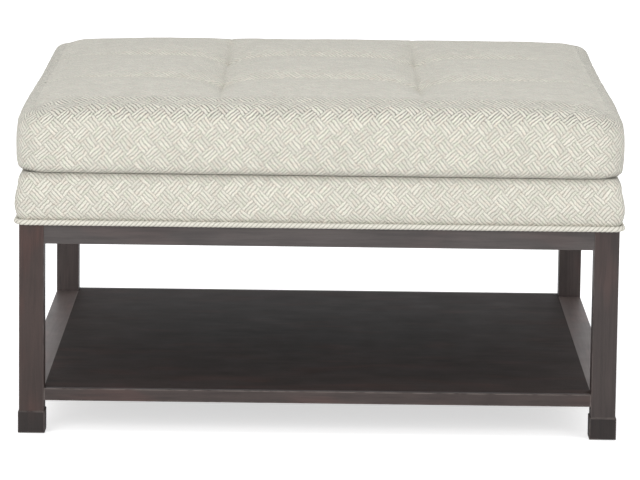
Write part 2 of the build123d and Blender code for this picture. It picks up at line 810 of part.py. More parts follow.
# Foam with a wrap that comes down beside the board.
with BuildPart() as cushion_foam:
    add(cushion_form(cover_thickness + soft_clearance))
    with BuildSketch(Plane.XY.offset(cushion_foot)):
        RectangleRounded(
            2 * (board_half_width + soft_clearance),
            2 * (board_half_depth + soft_clearance),
            cushion_corner_radius - cushion_wrap + soft_clearance,
        )
    extrude(amount=cushion_board_top - cushion_foot, mode=Mode.SUBTRACT)
    with BuildSketch(Plane.XY.offset(cushion_foot)):
        with Locations(*tuft_spots):
            Circle(tuft_hole_radius)
    extrude(amount=crown_rise, mode=Mode.SUBTRACT)
cushion_foam.part.label = "cushion_foam"
export_step(cushion_foam.part, "parts/cushion_foam.step")

# Tufts: a twine from the cover down through foam and board to a flat toggle in the board.
toggle_foot = cushion_board_foot + toggle_recess - toggle_thickness
twine_top = cushion_foot + crown_rise - tuft_sink - cover_thickness - soft_clearance
with BuildPart() as tuft_toggles:
    with BuildSketch(Plane.XY.offset(toggle_foot)):
        with Locations(*tuft_spots):
            Circle(toggle_radius)
            Circle(tuft_twine_radius + glue_gap, mode=Mode.SUBTRACT)
    extrude(amount=toggle_thickness)
tuft_toggles.part.label = "tuft_toggles"
export_step(tuft_toggles.part, "parts/tuft_toggles.step")

with BuildPart() as tuft_twines:
    with BuildSketch(Plane.XY.offset(toggle_foot)):
        with Locations(*tuft_spots):
            Circle(tuft_twine_radius)
    extrude(amount=twine_top - toggle_foot)
tuft_twines.part.label = "tuft_twines"
export_step(tuft_twines.part, "parts/tuft_twines.step")
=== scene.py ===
"""Square ottoman coffee table: a tufted cushion on a padded deck, over a dark wood frame with a low shelf.

Metres, in the frame's own axes: X to the right, -Y to the front, Z up.
"""
import math

import bmesh
import bpy
from mathutils import Matrix, Vector


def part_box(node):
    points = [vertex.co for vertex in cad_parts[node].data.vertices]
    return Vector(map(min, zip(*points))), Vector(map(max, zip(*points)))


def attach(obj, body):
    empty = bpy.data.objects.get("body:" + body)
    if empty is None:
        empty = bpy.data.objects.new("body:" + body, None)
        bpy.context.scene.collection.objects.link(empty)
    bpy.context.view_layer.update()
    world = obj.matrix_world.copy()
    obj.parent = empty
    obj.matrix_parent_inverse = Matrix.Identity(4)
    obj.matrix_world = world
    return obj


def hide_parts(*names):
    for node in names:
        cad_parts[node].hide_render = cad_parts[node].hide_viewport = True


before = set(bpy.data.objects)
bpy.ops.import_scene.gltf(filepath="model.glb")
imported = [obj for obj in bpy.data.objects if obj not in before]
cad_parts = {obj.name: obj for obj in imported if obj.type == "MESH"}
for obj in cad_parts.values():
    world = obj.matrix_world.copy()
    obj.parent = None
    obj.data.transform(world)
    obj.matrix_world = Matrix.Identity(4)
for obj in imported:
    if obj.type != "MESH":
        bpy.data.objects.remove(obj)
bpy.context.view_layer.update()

bl_info = {
    "name": "Ottoman Coffee Table",
    "version": (1, 0, 0),
    "blender": (4, 5, 0),
    "location": "3D View > Sidebar > Ottoman",
    "description": "Builds the upholstery, finishes and studio of a square ottoman coffee table",
    "category": "Add Mesh",
}

BODY = "root"
CORNERS = ("front_left", "front_right", "rear_left", "rear_right")
SIDES = ("front", "left", "rear", "right")
SIDE_GRAIN = {"front": "X", "left": "Y", "rear": "X", "right": "Y"}
DECK_CORNER = 0.006  # rounding of the deck rails' upright corners

cushion_low, cushion_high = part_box("cushion_cover")
border_low, border_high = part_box("border_cover")
deck_low, deck_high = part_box("deck_board")
dust_low, dust_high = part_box("dust_cover")


def length(name, description, default, **more):
    """A size in metres that shows with its unit."""
    return bpy.props.FloatProperty(
        name=name, description=description, default=default, unit="LENGTH", precision=4, **more
    )


def colour(name, description, default):
    """A colour from three linear parts."""
    return bpy.props.FloatVectorProperty(
        name=name, description=description, default=default, subtype="COLOR", min=0.0, max=1.0
    )


def angle(name, description, degrees):
    """An angle, written in degrees."""
    return bpy.props.FloatProperty(
        name=name, description=description, default=math.radians(degrees), subtype="ANGLE"
    )


def ratio(name, description, default):
    """A plain number without a unit."""
    return bpy.props.FloatProperty(name=name, description=description, default=default)


def count(name, description, default, least=1):
    """A whole number."""
    return bpy.props.IntProperty(name=name, description=description, default=default, min=least)


class OTTOMAN_PG_cushion(bpy.types.PropertyGroup):
    """Sizes of the biscuit-tufted cushion."""

    corner_radius: length("Corner radius", "Rounding of the upright corners, seen from above", 0.048)
    top_roll: length("Top roll", "Radius of the rolled top edge", 0.027)
    corner_roll: length("Corner roll", "How much lower the roll is at a corner", 0.007)
    foot_roll: length("Foot roll", "Radius of the rolled foot edge", 0.0090)
    draw_in: length("Draw-in", "Sides at the rolls, behind their fullest line", 0.0022)
    edge_rise: length("Edge rise", "From the foot to the top edge at the middle of a side", 0.1020)
    edge_lift: length("Edge lift", "Front and rear top edges above those at the sides", 0.0060)
    lean_back: length("Lean back", "Rear top edge above the cushion's middle", 0.0002)
    lean_right: length("Lean right", "Right top edge above the cushion's middle", 0.0010)
    front_droop: length("Front droop", "How far the top edge falls at the front corners", 0.0160)
    rear_droop: length("Rear droop", "How far the top edge falls at the rear corners", 0.0060)
    rear_skew: length("Rear skew", "How much more it falls at the left one than at the middle", 0.0036)
    crown_rise: length("Crown rise", "From the foot to the middle panel before it swells", 0.1175)
    seam_sink: length("Seam sink", "A seam's middle under the panels beside it", 0.0128)
    tuft_sink: length("Tuft sink", "Small dimple at a tuft, under its seams", 0.0080)
    tuft_width: length("Tuft width", "How far the small dimple reaches", 0.014)
    swell: length("Swell", "Most that the stuffed cover moves when it settles", 0.0045)
    pucker: length("Pucker", "Height of the small pleats that run out of a tuft", 0.0007)
    edge_scallop: length("Edge scallop", "Dip of the top edge where a seam runs out", 0.0006)
    groove_depth: length("Groove depth", "Sharp crease along a seam", 0.0032)
    groove_width: length("Groove width", "Half the width of the crease", 0.0050)
    turn_in: length("Turn-in", "Cover turned under the foot", 0.040)
    panel_cells: count("Cells", "Cells across a panel before the surface is divided", 36, 8)


class OTTOMAN_PG_border(bpy.types.PropertyGroup):
    """Sizes of the deck's padded border, measured outwards from the deck rails."""

    foot_out: length("Foot", "How far the border's foot stands out", 0.0080)
    belly_out: length("Belly", "How far its fullest line stands out", 0.0150)
    shoulder_out: length("Shoulder", "How far it stands out where the top roll begins", 0.0100)
    roll: length("Top roll", "Height of the rolled top edge", 0.0215)
    lean: ratio("Lean", "How far the weave leans against the cushion's", 0.17)
    side_cells: count("Cells", "Cells along a side before the surface is divided", 104, 8)


class OTTOMAN_PG_welt(bpy.types.PropertyGroup):
    """Sizes of the welt round the foot of the deck."""

    radius: length("Radius", "Radius of the covered cord", 0.0038)
    step: length("Step", "Length of one division along the cord", 0.0013)
    sides: count("Sides", "Divisions round the cord", 14, 6)
    stroke_pitch: length("Stroke pitch", "Distance between two slanted floats", 0.0073)
    stroke_rise: length("Stroke rise", "How far a float stands proud of the cord", 0.00045)


class OTTOMAN_PG_fabric(bpy.types.PropertyGroup):
    """The basket-weave upholstery cloth."""

    block: length("Block", "Side of a square block of the weave", 0.0200)
    strokes: count("Floats", "Parallel floats in a block", 4)
    turn: angle("Turn", "How far the blocks are turned", 45)
    lean: ratio("Lean", "How far the blocks lean sideways", -0.13)
    tall: ratio("Tall", "How much taller than wide the blocks are", 1.06)
    float_colour: colour("Floats", "Cream yarn that floats over each block", (0.655, 0.634, 0.560))
    ground_colour: colour("Ground", "Greige yarn between the floats", (0.420, 0.404, 0.348))
    thread_colour: colour("Thread", "Sewing and tufting thread", (0.62, 0.60, 0.53))


class OTTOMAN_PG_wood(bpy.types.PropertyGroup):
    """The dark stained frame and the plain woods inside."""

    stain: colour("Stain", "Main tone of the dark stain", (0.060, 0.043, 0.039))
    stain_dark: colour("Dark grain", "Tone in the pores of the stained wood", (0.026, 0.018, 0.017))
    stain_red: colour("Warm patches", "Tone of the stain's warm patches", (0.082, 0.047, 0.041))
    # painted highlight and rubbed wear: this light tone on the arrises stands in for catch light on the eased edges
    # as well as rubbing
    wear: colour("Worn edge", "Tone where the arrises have rubbed light", (0.15, 0.125, 0.115))
    plain: colour("Plain wood", "Unstained softwood inside the deck", (0.52, 0.36, 0.21))
    plain_dark: colour("Plain grain", "Grain of the unstained wood", (0.36, 0.22, 0.11))


class OTTOMAN_PG_stage(bpy.types.PropertyGroup):
    """Floor, lights and camera."""

    floor_size: length("Floor", "Side of the floor", 80.0)
    floor_colour: colour("Floor colour", "Pale studio floor", (0.90, 0.90, 0.90))
    camera_place: bpy.props.FloatVectorProperty(
        name="Camera", description="Where the camera stands", default=(-0.001, -6.493, 1.2695), unit="LENGTH"
    )
    camera_pitch: angle("Pitch", "How far the camera looks down", 9.07)
    camera_yaw: angle("Yaw", "How far the camera looks aside", -0.02)
    camera_roll: angle("Roll", "How far the camera is tilted", 0.71)
    camera_lens: bpy.props.FloatProperty(
        name="Lens", description="Focal length", default=226.0, subtype="DISTANCE_CAMERA"
    )


def settings(name):
    """One of the scene's groups of sizes."""
    return getattr(bpy.context.scene, "ottoman_" + name)


# Node trees


class Tree:
    """Adds nodes to a tree. Inputs are sockets or plain values, in the order of the node's sockets."""

    def __init__(self, tree):
        self.tree = tree

    def add(self, kind, *inputs, **options):
        node = self.tree.nodes.new(kind)
        named = options.pop("inputs", {})
        for option, value in options.items():
            setattr(node, option, value)
        for key, value in [*enumerate(inputs), *named.items()]:
            if isinstance(value, bpy.types.NodeSocket):
                self.tree.links.new(value, node.inputs[key])
            elif value is not None:
                node.inputs[key].default_value = value
        return node

    def get(self, kind, *inputs, **options):
        """The first output of a new node."""
        return self.add(kind, *inputs, **options).outputs[0]

    def link(self, socket, target):
        self.tree.links.new(socket, target)

    def use(self, maker, inputs):
        """The outputs of a shared node group."""
        return self.add("ShaderNodeGroup", node_tree=shared(maker), inputs=inputs).outputs

    def object_place(self):
        return self.add("ShaderNodeTexCoord").outputs["Object"]

    def math(self, operation, *inputs):
        return self.get("ShaderNodeMath", *inputs, operation=operation)

    def plus(self, base, value, factor):
        """The base and a value times a factor."""
        return self.math("MULTIPLY_ADD", value, factor, base)

    def off_middle(self, value):
        """Distance of a value from one half, from 0 to 1."""
        return self.math("MULTIPLY", self.math("ABSOLUTE", self.math("SUBTRACT", value, 0.5)), 2.0)

    def vector(self, operation, *inputs):
        return self.get("ShaderNodeVectorMath", *inputs, operation=operation)

    def parts(self, vector):
        return self.add("ShaderNodeSeparateXYZ", vector).outputs

    def joined(self, x, y, z):
        return self.get("ShaderNodeCombineXYZ", x, y, z)

    def smooth(self, value, low, high, to_low=0.0, to_high=1.0):
        """Smooth step from one value to another."""
        return self.get("ShaderNodeMapRange", value, low, high, to_low, to_high, interpolation_type="SMOOTHSTEP")

    def blend(self, factor, first, second):
        """Mixes two colours."""
        return self.add("ShaderNodeMix", inputs={0: factor, 6: first, 7: second}, data_type="RGBA").outputs[2]

    def between(self, factor, first, second):
        """Mixes two values."""
        return self.get("ShaderNodeMix", factor, None, first, second)

    def scaled(self, vector, factor):
        """A place or a colour times a value."""
        return self.vector("SCALE", vector, None, None, factor)

    def noise(self, vector, scale, detail=2.0, roughness=0.5):
        return self.get("ShaderNodeTexNoise", inputs={
            "Vector": vector, "Scale": scale, "Detail": detail, "Roughness": roughness
        })

    def constant(self, tone):
        """A constant colour as a socket, for sums that change over the surface."""
        node = self.add("ShaderNodeRGB")
        node.outputs[0].default_value = rgba(tone)
        return node.outputs[0]


def rgba(tone):
    """A colour with its alpha."""
    return (*tone, 1.0)


def group(name, inputs, outputs):
    """An empty shader node group, with its inputs' sockets and a place for its outputs."""
    tree = bpy.data.node_groups.new(name, "ShaderNodeTree")
    for title, kind, default in inputs:
        socket = tree.interface.new_socket(title, in_out="INPUT", socket_type=kind)
        if default is not None:
            socket.default_value = default
    for title, kind in outputs:
        tree.interface.new_socket(title, in_out="OUTPUT", socket_type=kind)
    made = Tree(tree)
    return made, made.add("NodeGroupInput").outputs, made.add("NodeGroupOutput").inputs


def put_out(made, outputs, **values):
    """Links a group's outputs and gives its tree."""
    for title, socket in values.items():
        made.link(socket, outputs[title])
    return made.tree


FLOAT, VECTOR, COLOUR = "NodeSocketFloat", "NodeSocketVector", "NodeSocketColor"
WHOLE, FINISH = "NodeSocketInt", "NodeSocketMaterial"


def basket_weave():
    """Square blocks of parallel floats, each block's floats square to those of its neighbours."""
    made, given, out = group(
        "Basket Weave",
        [("Vector", VECTOR, None), ("Block", FLOAT, 0.02), ("Floats", FLOAT, 4.0), ("Turn", FLOAT, 0.8)],
        [("Mask", FLOAT), ("Height", FLOAT), ("Tone", FLOAT), ("Twist", FLOAT)],
    )
    # each yarn wanders a little
    moved = given["Vector"]
    for scale, reach in ((60.0, 0.0036), (170.0, 0.0024), (480.0, 0.0009)):
        drift = made.add("ShaderNodeTexNoise", inputs={"Vector": given["Vector"], "Scale": scale, "Detail": 1.0})
        shift = made.vector("SUBTRACT", drift.outputs["Color"], (0.5, 0.5, 0.5))
        moved = made.vector("ADD", moved, made.scaled(shift, reach))
    turned = made.get(
        "ShaderNodeVectorRotate", inputs={"Vector": moved, "Angle": given["Turn"]}, rotation_type="Z_AXIS"
    )
    # blocks in a chequer, every other one turned by a right angle
    blocks = made.scaled(turned, made.math("DIVIDE", 1.0, given["Block"]))
    cell = made.parts(made.vector("FLOOR", blocks))
    place = made.parts(made.vector("FRACTION", blocks))
    odd = made.math("FLOORED_MODULO", made.math("ADD", cell[0], cell[1]), 2.0)
    across = made.between(odd, place[0], place[1])
    along = made.between(odd, place[1], place[0])
    # a float is round across, and dives under its neighbours at its ends
    strips = made.math("MULTIPLY", across, given["Floats"])
    index = made.math("FLOOR", strips)
    lateral = made.math("SUBTRACT", made.math("FRACT", strips), 0.5)
    side = made.math("MULTIPLY", made.math("ABSOLUTE", lateral), 2.0)
    end = made.off_middle(along)
    fallen = made.math("POWER", made.math("DIVIDE", side, 0.88), 2.0)
    round_side = made.math("SQRT", made.math("MAXIMUM", made.math("SUBTRACT", 1.0, fallen), 0.0))
    height = made.math("MULTIPLY", round_side, made.smooth(end, 1.06, 0.90, 0.45, 1.0))
    # each float has its own tone and a twist along it, and its edges are frayed
    seed = made.joined(cell[0], cell[1], made.plus(index, odd, 10.0))
    tone = made.add("ShaderNodeTexWhiteNoise", seed, noise_dimensions="3D").outputs["Value"]
    turns = made.plus(made.math("MULTIPLY", along, 11.0), lateral, 1.6)
    twist = made.math("SINE", made.math("MULTIPLY", turns, math.tau))
    frayed = made.math("SUBTRACT", made.noise(moved, 520.0), 0.5)
    mask = made.smooth(made.plus(height, frayed, 1.3), 0.22, 0.80)
    return put_out(made, out, Mask=mask, Height=height, Tone=tone, Twist=twist)


def box_edges():
    """Mask along the edges of a box, for arrises that get a painted highlight and rubbed wear."""
    made, given, out = group(
        "Box Edges",
        [("Vector", VECTOR, None), ("Centre", VECTOR, None), ("Half Size", VECTOR, None), ("Width", FLOAT, 0.002)],
        [("Mask", FLOAT)],
    )
    off = made.vector("ABSOLUTE", made.vector("SUBTRACT", given["Vector"], given["Centre"]))
    x, y, z = made.parts(made.vector("SUBTRACT", given["Half Size"], off))
    low, high = made.math("MINIMUM", x, y), made.math("MAXIMUM", x, y)
    second = made.math("MAXIMUM", low, made.math("MINIMUM", high, z))
    return put_out(made, out, Mask=made.smooth(made.math("DIVIDE", second, given["Width"]), 1.0, 0.35))


def wood_figure():
    """Fine grain along X, pores, cloudy stain and warm patches."""
    made, given, out = group(
        "Wood Figure",
        [
            ("Vector", VECTOR, None),
            ("Tone", COLOUR, (0.1, 0.1, 0.1, 1)),
            ("Grain", COLOUR, (0.05, 0.05, 0.05, 1)),
            ("Patch", COLOUR, (0.1, 0.05, 0.05, 1)),
            ("Contrast", FLOAT, 1.0),
        ],
        [("Color", COLOUR), ("Height", FLOAT), ("Cloud", FLOAT)],
    )

    def drawn_out(place, along, across, scale, detail=2.0, roughness=0.5):
        """Noise drawn out along the grain."""
        return made.noise(made.vector("MULTIPLY", place, (along, across, across)), scale, detail, roughness)

    warp = drawn_out(given["Vector"], 1.5, 6.0, 3.0)
    bent = made.vector("ADD", given["Vector"], made.joined(0.0, made.math("MULTIPLY", warp, 0.02), 0.0))
    grain = drawn_out(bent, 4.0, 90.0, 2.2, 5.0, 0.62)
    pores = made.smooth(drawn_out(bent, 14.0, 420.0, 2.0, 2.0, 0.7), 0.54, 0.72)
    cloud = drawn_out(given["Vector"], 5.0, 9.0, 1.6, 2.0, 0.55)
    patch = made.smooth(drawn_out(given["Vector"], 4.0, 10.0, 2.3, 1.0), 0.5, 0.72)
    warm = made.blend(made.math("MULTIPLY", patch, given["Contrast"]), given["Tone"], given["Patch"])
    streak = made.math("MULTIPLY", made.smooth(grain, 0.40, 0.66), 0.55)
    streaked = made.blend(made.math("MULTIPLY", streak, given["Contrast"]), warm, given["Grain"])
    pored = made.blend(made.math("MULTIPLY", pores, 0.35), streaked, given["Grain"])
    height = made.plus(made.math("MULTIPLY", grain, 0.4), pores, -0.6)
    return put_out(made, out, Color=made.scaled(pored, made.math("ADD", cloud, 0.50)), Height=height, Cloud=cloud)


GROUPS = {}


def shared(maker):
    """The node group that a function makes, made once."""
    if maker.__name__ not in GROUPS:
        GROUPS[maker.__name__] = maker()
    return GROUPS[maker.__name__]


def new_material(name):
    """A material with its node tree and its Principled shader."""
    made = bpy.data.materials.new(name)
    made.use_nodes = True
    nodes = made.node_tree.nodes
    shader = next(node for node in nodes if node.type == "BSDF_PRINCIPLED")
    return made, Tree(made.node_tree), shader


def finish(made, shader, base, roughness=None, height=None, depth=0.001, strength=1.0, **constants):
    """Links a shader's colour, roughness and bump, and sets its constants."""
    made.link(base, shader.inputs["Base Color"])
    if roughness is not None:
        made.link(roughness, shader.inputs["Roughness"])
    if height is not None:
        bump = made.get("ShaderNodeBump", inputs={"Height": height, "Strength": strength, "Distance": depth})
        made.link(bump, shader.inputs["Normal"])
    for title, value in constants.items():
        shader.inputs[title.replace("_", " ")].default_value = value


CLOTH_GLOSS = {"Roughness": 0.92, "Specular_IOR_Level": 0.18, "Sheen_Weight": 0.22, "Sheen_Roughness": 0.45}


def upholstery_material():
    """Basket-weave cloth: cream floats over a greige ground, with a soft sheen."""
    fabric = settings("fabric")
    material, made, shader = new_material("Upholstery Cloth")
    place = made.get("ShaderNodeUVMap", uv_map="Cloth")
    along, down, _ = made.parts(place)
    weave = made.use(basket_weave, {
        "Vector": made.joined(made.plus(along, down, fabric.lean), made.math("DIVIDE", down, fabric.tall), 0.0),
        "Block": fabric.block, "Floats": fabric.strokes, "Turn": fabric.turn,
    })
    ribs = made.noise(place, 1400.0, 1.0)
    slub = made.noise(place, 480.0, 2.0, 0.6)
    float_tone = made.plus(made.plus(0.66, weave["Tone"], 0.14), slub, 0.54)
    twist_tone = made.plus(1.0, weave["Twist"], 0.045)
    floats = made.scaled(made.constant(fabric.float_colour), made.math("MULTIPLY", float_tone, twist_tone))
    # painted shade: the ground between the floats is darker over the rolled edge, standing in for the shadow that
    # light raking across the roll casts in the weave
    roll_gap_shade = made.math("MULTIPLY", made.smooth(down, -0.046, -0.026), made.smooth(down, 0.050, 0.012))
    ground_tone = made.plus(made.plus(0.74, roll_gap_shade, -0.52), ribs, 0.56)
    ground = made.scaled(made.constant(fabric.ground_colour), ground_tone)
    hair = made.noise(place, 560.0, 4.0, 0.80)
    cloth = made.scaled(made.blend(weave["Mask"], ground, floats), made.plus(0.68, hair, 0.64))
    hue = made.noise(place, 120.0, 0.0)
    for low, high, tint in ((0.45, 0.75, (1.0, 0.965, 0.955)), (0.5, 0.25, (0.965, 0.99, 0.955))):
        cloth = made.blend(made.smooth(hue, low, high), cloth, made.vector("MULTIPLY", cloth, tint))
    # soft shade in the crease between the cushion and the deck
    level = made.parts(made.object_place())[2]
    off_crease = made.math("ABSOLUTE", made.math("SUBTRACT", level, cushion_low.z + 0.0005))
    shade = made.smooth(off_crease, 0.0, 0.014, 0.20, 0.0)
    overall = made.math("SUBTRACT", made.plus(0.96, made.noise(place, 26.0), 0.08), shade)
    fine = made.math("MULTIPLY", weave["Twist"], weave["Mask"])
    height = made.plus(made.plus(weave["Height"], fine, 0.10), ribs, 0.12)
    finish(made, shader, made.scaled(cloth, overall), height=height, depth=0.0011, strength=0.9, **CLOTH_GLOSS)
    return material


def welt_floats(made, along, around, pitch):
    """Height of the slanted floats at a place along and round the cord, from 0 to 1."""
    slant = made.math("DIVIDE", made.math("MULTIPLY", around, 0.9), pitch)
    turns = made.math("ADD", made.math("DIVIDE", along, pitch), slant)
    return made.smooth(made.off_middle(made.math("FRACT", turns)), 0.95, 0.35)


def welt_material():
    """The same cloth on the cord, where only one row of slanted floats shows."""
    fabric = settings("fabric")
    material, made, shader = new_material("Welt Cloth")
    along, around, _ = made.parts(made.get("ShaderNodeUVMap", uv_map="Cloth"))
    floats = welt_floats(made, along, around, settings("welt").stroke_pitch)
    place = made.joined(along, around, 0.0)
    hair = made.noise(place, 1300.0, 1.0)
    cloth = made.blend(made.smooth(floats, 0.1, 0.55), rgba(fabric.ground_colour), rgba(fabric.float_colour))
    tone = made.plus(made.plus(0.84, hair, 0.14), made.noise(place, 90.0, 1.0), 0.18)
    finish(made, shader, made.scaled(cloth, tone), height=made.plus(floats, hair, 0.3), depth=0.0005, **CLOTH_GLOSS)
    return material


def wood_place(made, axis):
    """Object coordinates, as they are and turned so that the grain, along the given axis, runs along X."""
    place = made.object_place()
    x, y, z = made.parts(place)
    return place, made.joined(*{"X": (x, y, z), "Y": (y, z, x), "Z": (z, x, y)}[axis])


def stained_wood(node, axis, tone=1.0, roughness=0.44, gloss=0.35, wear=0.5, coat=0.12, grey=0.0):
    """Dark stained and lacquered wood for one piece, with arrises lightened by a painted highlight and rubbed wear.
    """
    wood = settings("wood")
    low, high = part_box(node)
    material, made, shader = new_material("Stained Wood " + node)
    place, grain = wood_place(made, axis)
    shades = []
    for shade in (wood.stain, wood.stain_dark, wood.stain_red):
        mean = sum(shade) / 3
        shades.append(rgba([tone * (part + (mean - part) * grey) for part in shade]))
    figure = made.use(wood_figure, {
        "Vector": grain, "Tone": shades[0], "Grain": shades[1], "Patch": shades[2], "Contrast": 0.8
    })
    edges = made.use(box_edges, {
        "Vector": place, "Centre": (low + high) / 2, "Half Size": (high - low) / 2, "Width": 0.0022
    })
    broken = made.smooth(made.noise(place, 60.0, 3.0), 0.30, 0.62)
    # painted highlight and rubbed wear: the arrises are lightened towards the worn-edge tone
    lit_and_worn_arrises = made.math("MULTIPLY", made.math("MULTIPLY", edges["Mask"], broken), wear)
    base = made.blend(lit_and_worn_arrises, figure["Color"], rgba(wood.wear))
    rough = made.plus(roughness - 0.06, made.noise(place, 22.0, 3.0), 0.14)
    finish(
        made, shader, base, rough, figure["Height"], depth=0.00012,
        Specular_IOR_Level=gloss, Coat_Weight=coat, Coat_Roughness=0.32,
    )
    return material


def bare_figure(made, grain, contrast):
    """Figure of the unstained softwood."""
    wood = settings("wood")
    return made.use(wood_figure, {
        "Vector": grain, "Tone": rgba(wood.plain), "Grain": rgba(wood.plain_dark), "Patch": rgba(wood.plain),
        "Contrast": contrast,
    })


def plain_wood(axis):
    """Unstained softwood, sawn and left bare."""
    material, made, shader = new_material("Plain Wood " + axis)
    figure = bare_figure(made, wood_place(made, axis)[1], 1.0)
    rough = made.plus(0.62, figure["Cloud"], 0.2)
    finish(made, shader, figure["Color"], rough, figure["Height"], depth=0.0003, Specular_IOR_Level=0.3)
    return material


def plywood_material():
    """Plywood: plain wood on its faces and thin plies on its edges."""
    ply_thickness = 0.0024
    material, made, shader = new_material("Plywood")
    place, grain = wood_place(made, "X")
    figure = bare_figure(made, grain, 0.7)
    level = made.parts(place)[2]
    ply = made.math("FLOORED_MODULO", made.math("FLOOR", made.math("DIVIDE", level, ply_thickness)), 2.0)
    up = made.math("ABSOLUTE", made.parts(made.add("ShaderNodeTexCoord").outputs["Normal"])[2])
    on_edge = made.math("MULTIPLY", made.math("MULTIPLY", ply, made.smooth(up, 0.6, 0.3)), 0.6)
    base = made.blend(on_edge, figure["Color"], rgba(settings("wood").plain_dark))
    finish(made, shader, base, figure["Cloud"], figure["Height"], depth=0.0003, Specular_IOR_Level=0.3)
    return material


def speckled(name, dark, light, scale, depth, **constants):
    """A fine-grained finish: two tones by noise, with a little bump."""
    material, made, shader = new_material(name)
    fine = made.noise(made.object_place(), scale, 3.0)
    finish(made, shader, made.blend(fine, rgba(dark), rgba(light)), height=fine, depth=depth, **constants)
    return material


def dust_cloth_material():
    """Black spun cloth with crossing fibres and small pressed dots."""
    dot_spacing = 0.003
    material, made, shader = new_material("Dust Cloth")
    place = made.object_place()
    fibres = [
        made.noise(made.vector("MULTIPLY", place, stretch), 1.0, 3.0, 0.7)
        for stretch in ((900.0, 120.0, 1.0), (120.0, 900.0, 1.0))
    ]
    web = made.math("MAXIMUM", *fibres)
    turned = made.parts(made.scaled(place, math.pi / dot_spacing))
    dot = made.math("MULTIPLY", made.math("SINE", turned[0]), made.math("SINE", turned[1]))
    dots = made.smooth(made.math("ABSOLUTE", dot), 0.75, 0.9)
    base = made.blend(made.smooth(web, 0.45, 0.75), rgba((0.010, 0.010, 0.011)), rgba((0.045, 0.045, 0.048)))
    height = made.plus(web, dots, -0.5)
    finish(made, shader, base, height=height, depth=0.0004, Roughness=0.8, Specular_IOR_Level=0.25)
    return material


def thread_material():
    """Twisted thread with fine fibres."""
    material, made, shader = new_material("Thread")
    fibres = made.noise(made.object_place(), 2600.0)
    base = made.scaled(made.constant(settings("fabric").thread_colour), made.plus(0.75, fibres, 0.5))
    finish(made, shader, base, height=fibres, depth=0.0002, Roughness=0.8, Specular_IOR_Level=0.25)
    return material


def zinc_material():
    """Zinc-plated steel of the screws."""
    return speckled(
        "Zinc Steel", (0.50, 0.49, 0.44), (0.72, 0.71, 0.66), 400.0, 0.00003, Metallic=0.95, Roughness=0.34
    )


MATERIALS = {}


def material(maker, *words):
    """The material that a function makes, made once for each set of words."""
    key = (maker.__name__, *words)
    if key not in MATERIALS:
        MATERIALS[key] = maker(*words)
    return MATERIALS[key]


# Meshes


def add_piece(name, mesh, finish_material, slot, *replaced):
    """Puts a finished mesh in the scene as a piece that rides on the table, in place of frame nodes."""
    piece = bpy.data.objects.new(name, mesh)
    bpy.context.scene.collection.objects.link(piece)
    mesh.materials.clear()
    mesh.materials.append(finish_material)
    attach(piece, BODY)
    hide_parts(*replaced)
    return piece


def evaluated_mesh(mesh, name, *modifiers):
    """A plain mesh from a mesh under modifiers, each a kind with its settings."""
    holder = bpy.data.objects.new(name, mesh)
    bpy.context.scene.collection.objects.link(holder)
    for kind, options in modifiers:
        modifier = holder.modifiers.new(kind, kind)
        for option, value in options.items():
            if option == "inputs":
                for title, given in value.items():
                    modifier[socket_of(modifier.node_group, title)] = given
            else:
                setattr(modifier, option, value)
    holder.update_tag()
    graph = bpy.context.evaluated_depsgraph_get()
    made = bpy.data.meshes.new_from_object(holder.evaluated_get(graph), depsgraph=graph)
    made.name = name
    made.validate()
    bpy.data.objects.remove(holder)
    return made


def socket_of(tree, title):
    """Identifier of a node tree's input, by its title."""
    return next(
        item.identifier
        for item in tree.interface.items_tree
        if item.item_type == "SOCKET" and item.in_out == "INPUT" and item.name == title
    )


def divided(mesh, name, levels=1):
    """The mesh with its surface divided and smoothed, and an open foot closed by one flat face."""
    made = evaluated_mesh(mesh, name, ("SUBSURF", {"levels": levels, "render_levels": levels}))
    shape = bmesh.new()
    shape.from_mesh(made)
    rim = [edge for edge in shape.edges if edge.is_boundary]
    if rim:
        bmesh.ops.holes_fill(shape, edges=rim)
        shape.to_mesh(made)
    shape.free()
    for polygon in made.polygons:
        polygon.use_smooth = True
    return made


def mesh_from(name, vertices, faces, corner_places):
    """A mesh from points and faces, with a map of cloth coordinates for each face's corners."""
    mesh = bpy.data.meshes.new(name)
    mesh.from_pydata(vertices, [], faces)
    cloth = mesh.uv_layers.new(name="Cloth")
    flat = [value for places in corner_places for place in places for value in place]
    cloth.data.foreach_set("uv", flat)
    mesh.update()
    return mesh


def soft_wave(x, y, z=0.0):
    """A slow, fixed unevenness from -1 to 1, as stuffed cloth has."""
    waves = (
        math.sin(11.3 * x + 7.1 * y + 3.0 * z + 0.4),
        math.sin(-17.9 * x + 13.7 * y + 9.0 * z + 2.1),
        math.sin(23.1 * x + 29.3 * y - 21.0 * z + 4.2),
        math.sin(41.0 * x - 33.0 * y + 37.0 * z + 1.3),
    )
    return sum(wave * part for wave, part in zip(waves, (0.36, 0.28, 0.22, 0.14)))


def ease(part):
    """Eases from 0 to 1, and stays there outside them."""
    part = min(max(part, 0.0), 1.0)
    return part * part * (3 - 2 * part)


def cloth_round(ring, start):
    """Distances along a closed ring from one of its places, stretched to whole repeats of the weave."""
    along = [0.0]
    for here, ahead in zip(ring, ring[1:] + ring[:1]):
        along.append(along[-1] + math.dist(here, ahead))
    repeat = settings("fabric").block * math.sqrt(2)
    stretch = round(along[-1] / repeat) * repeat / along[-1]
    return [(value - along[start]) * stretch for value in along]


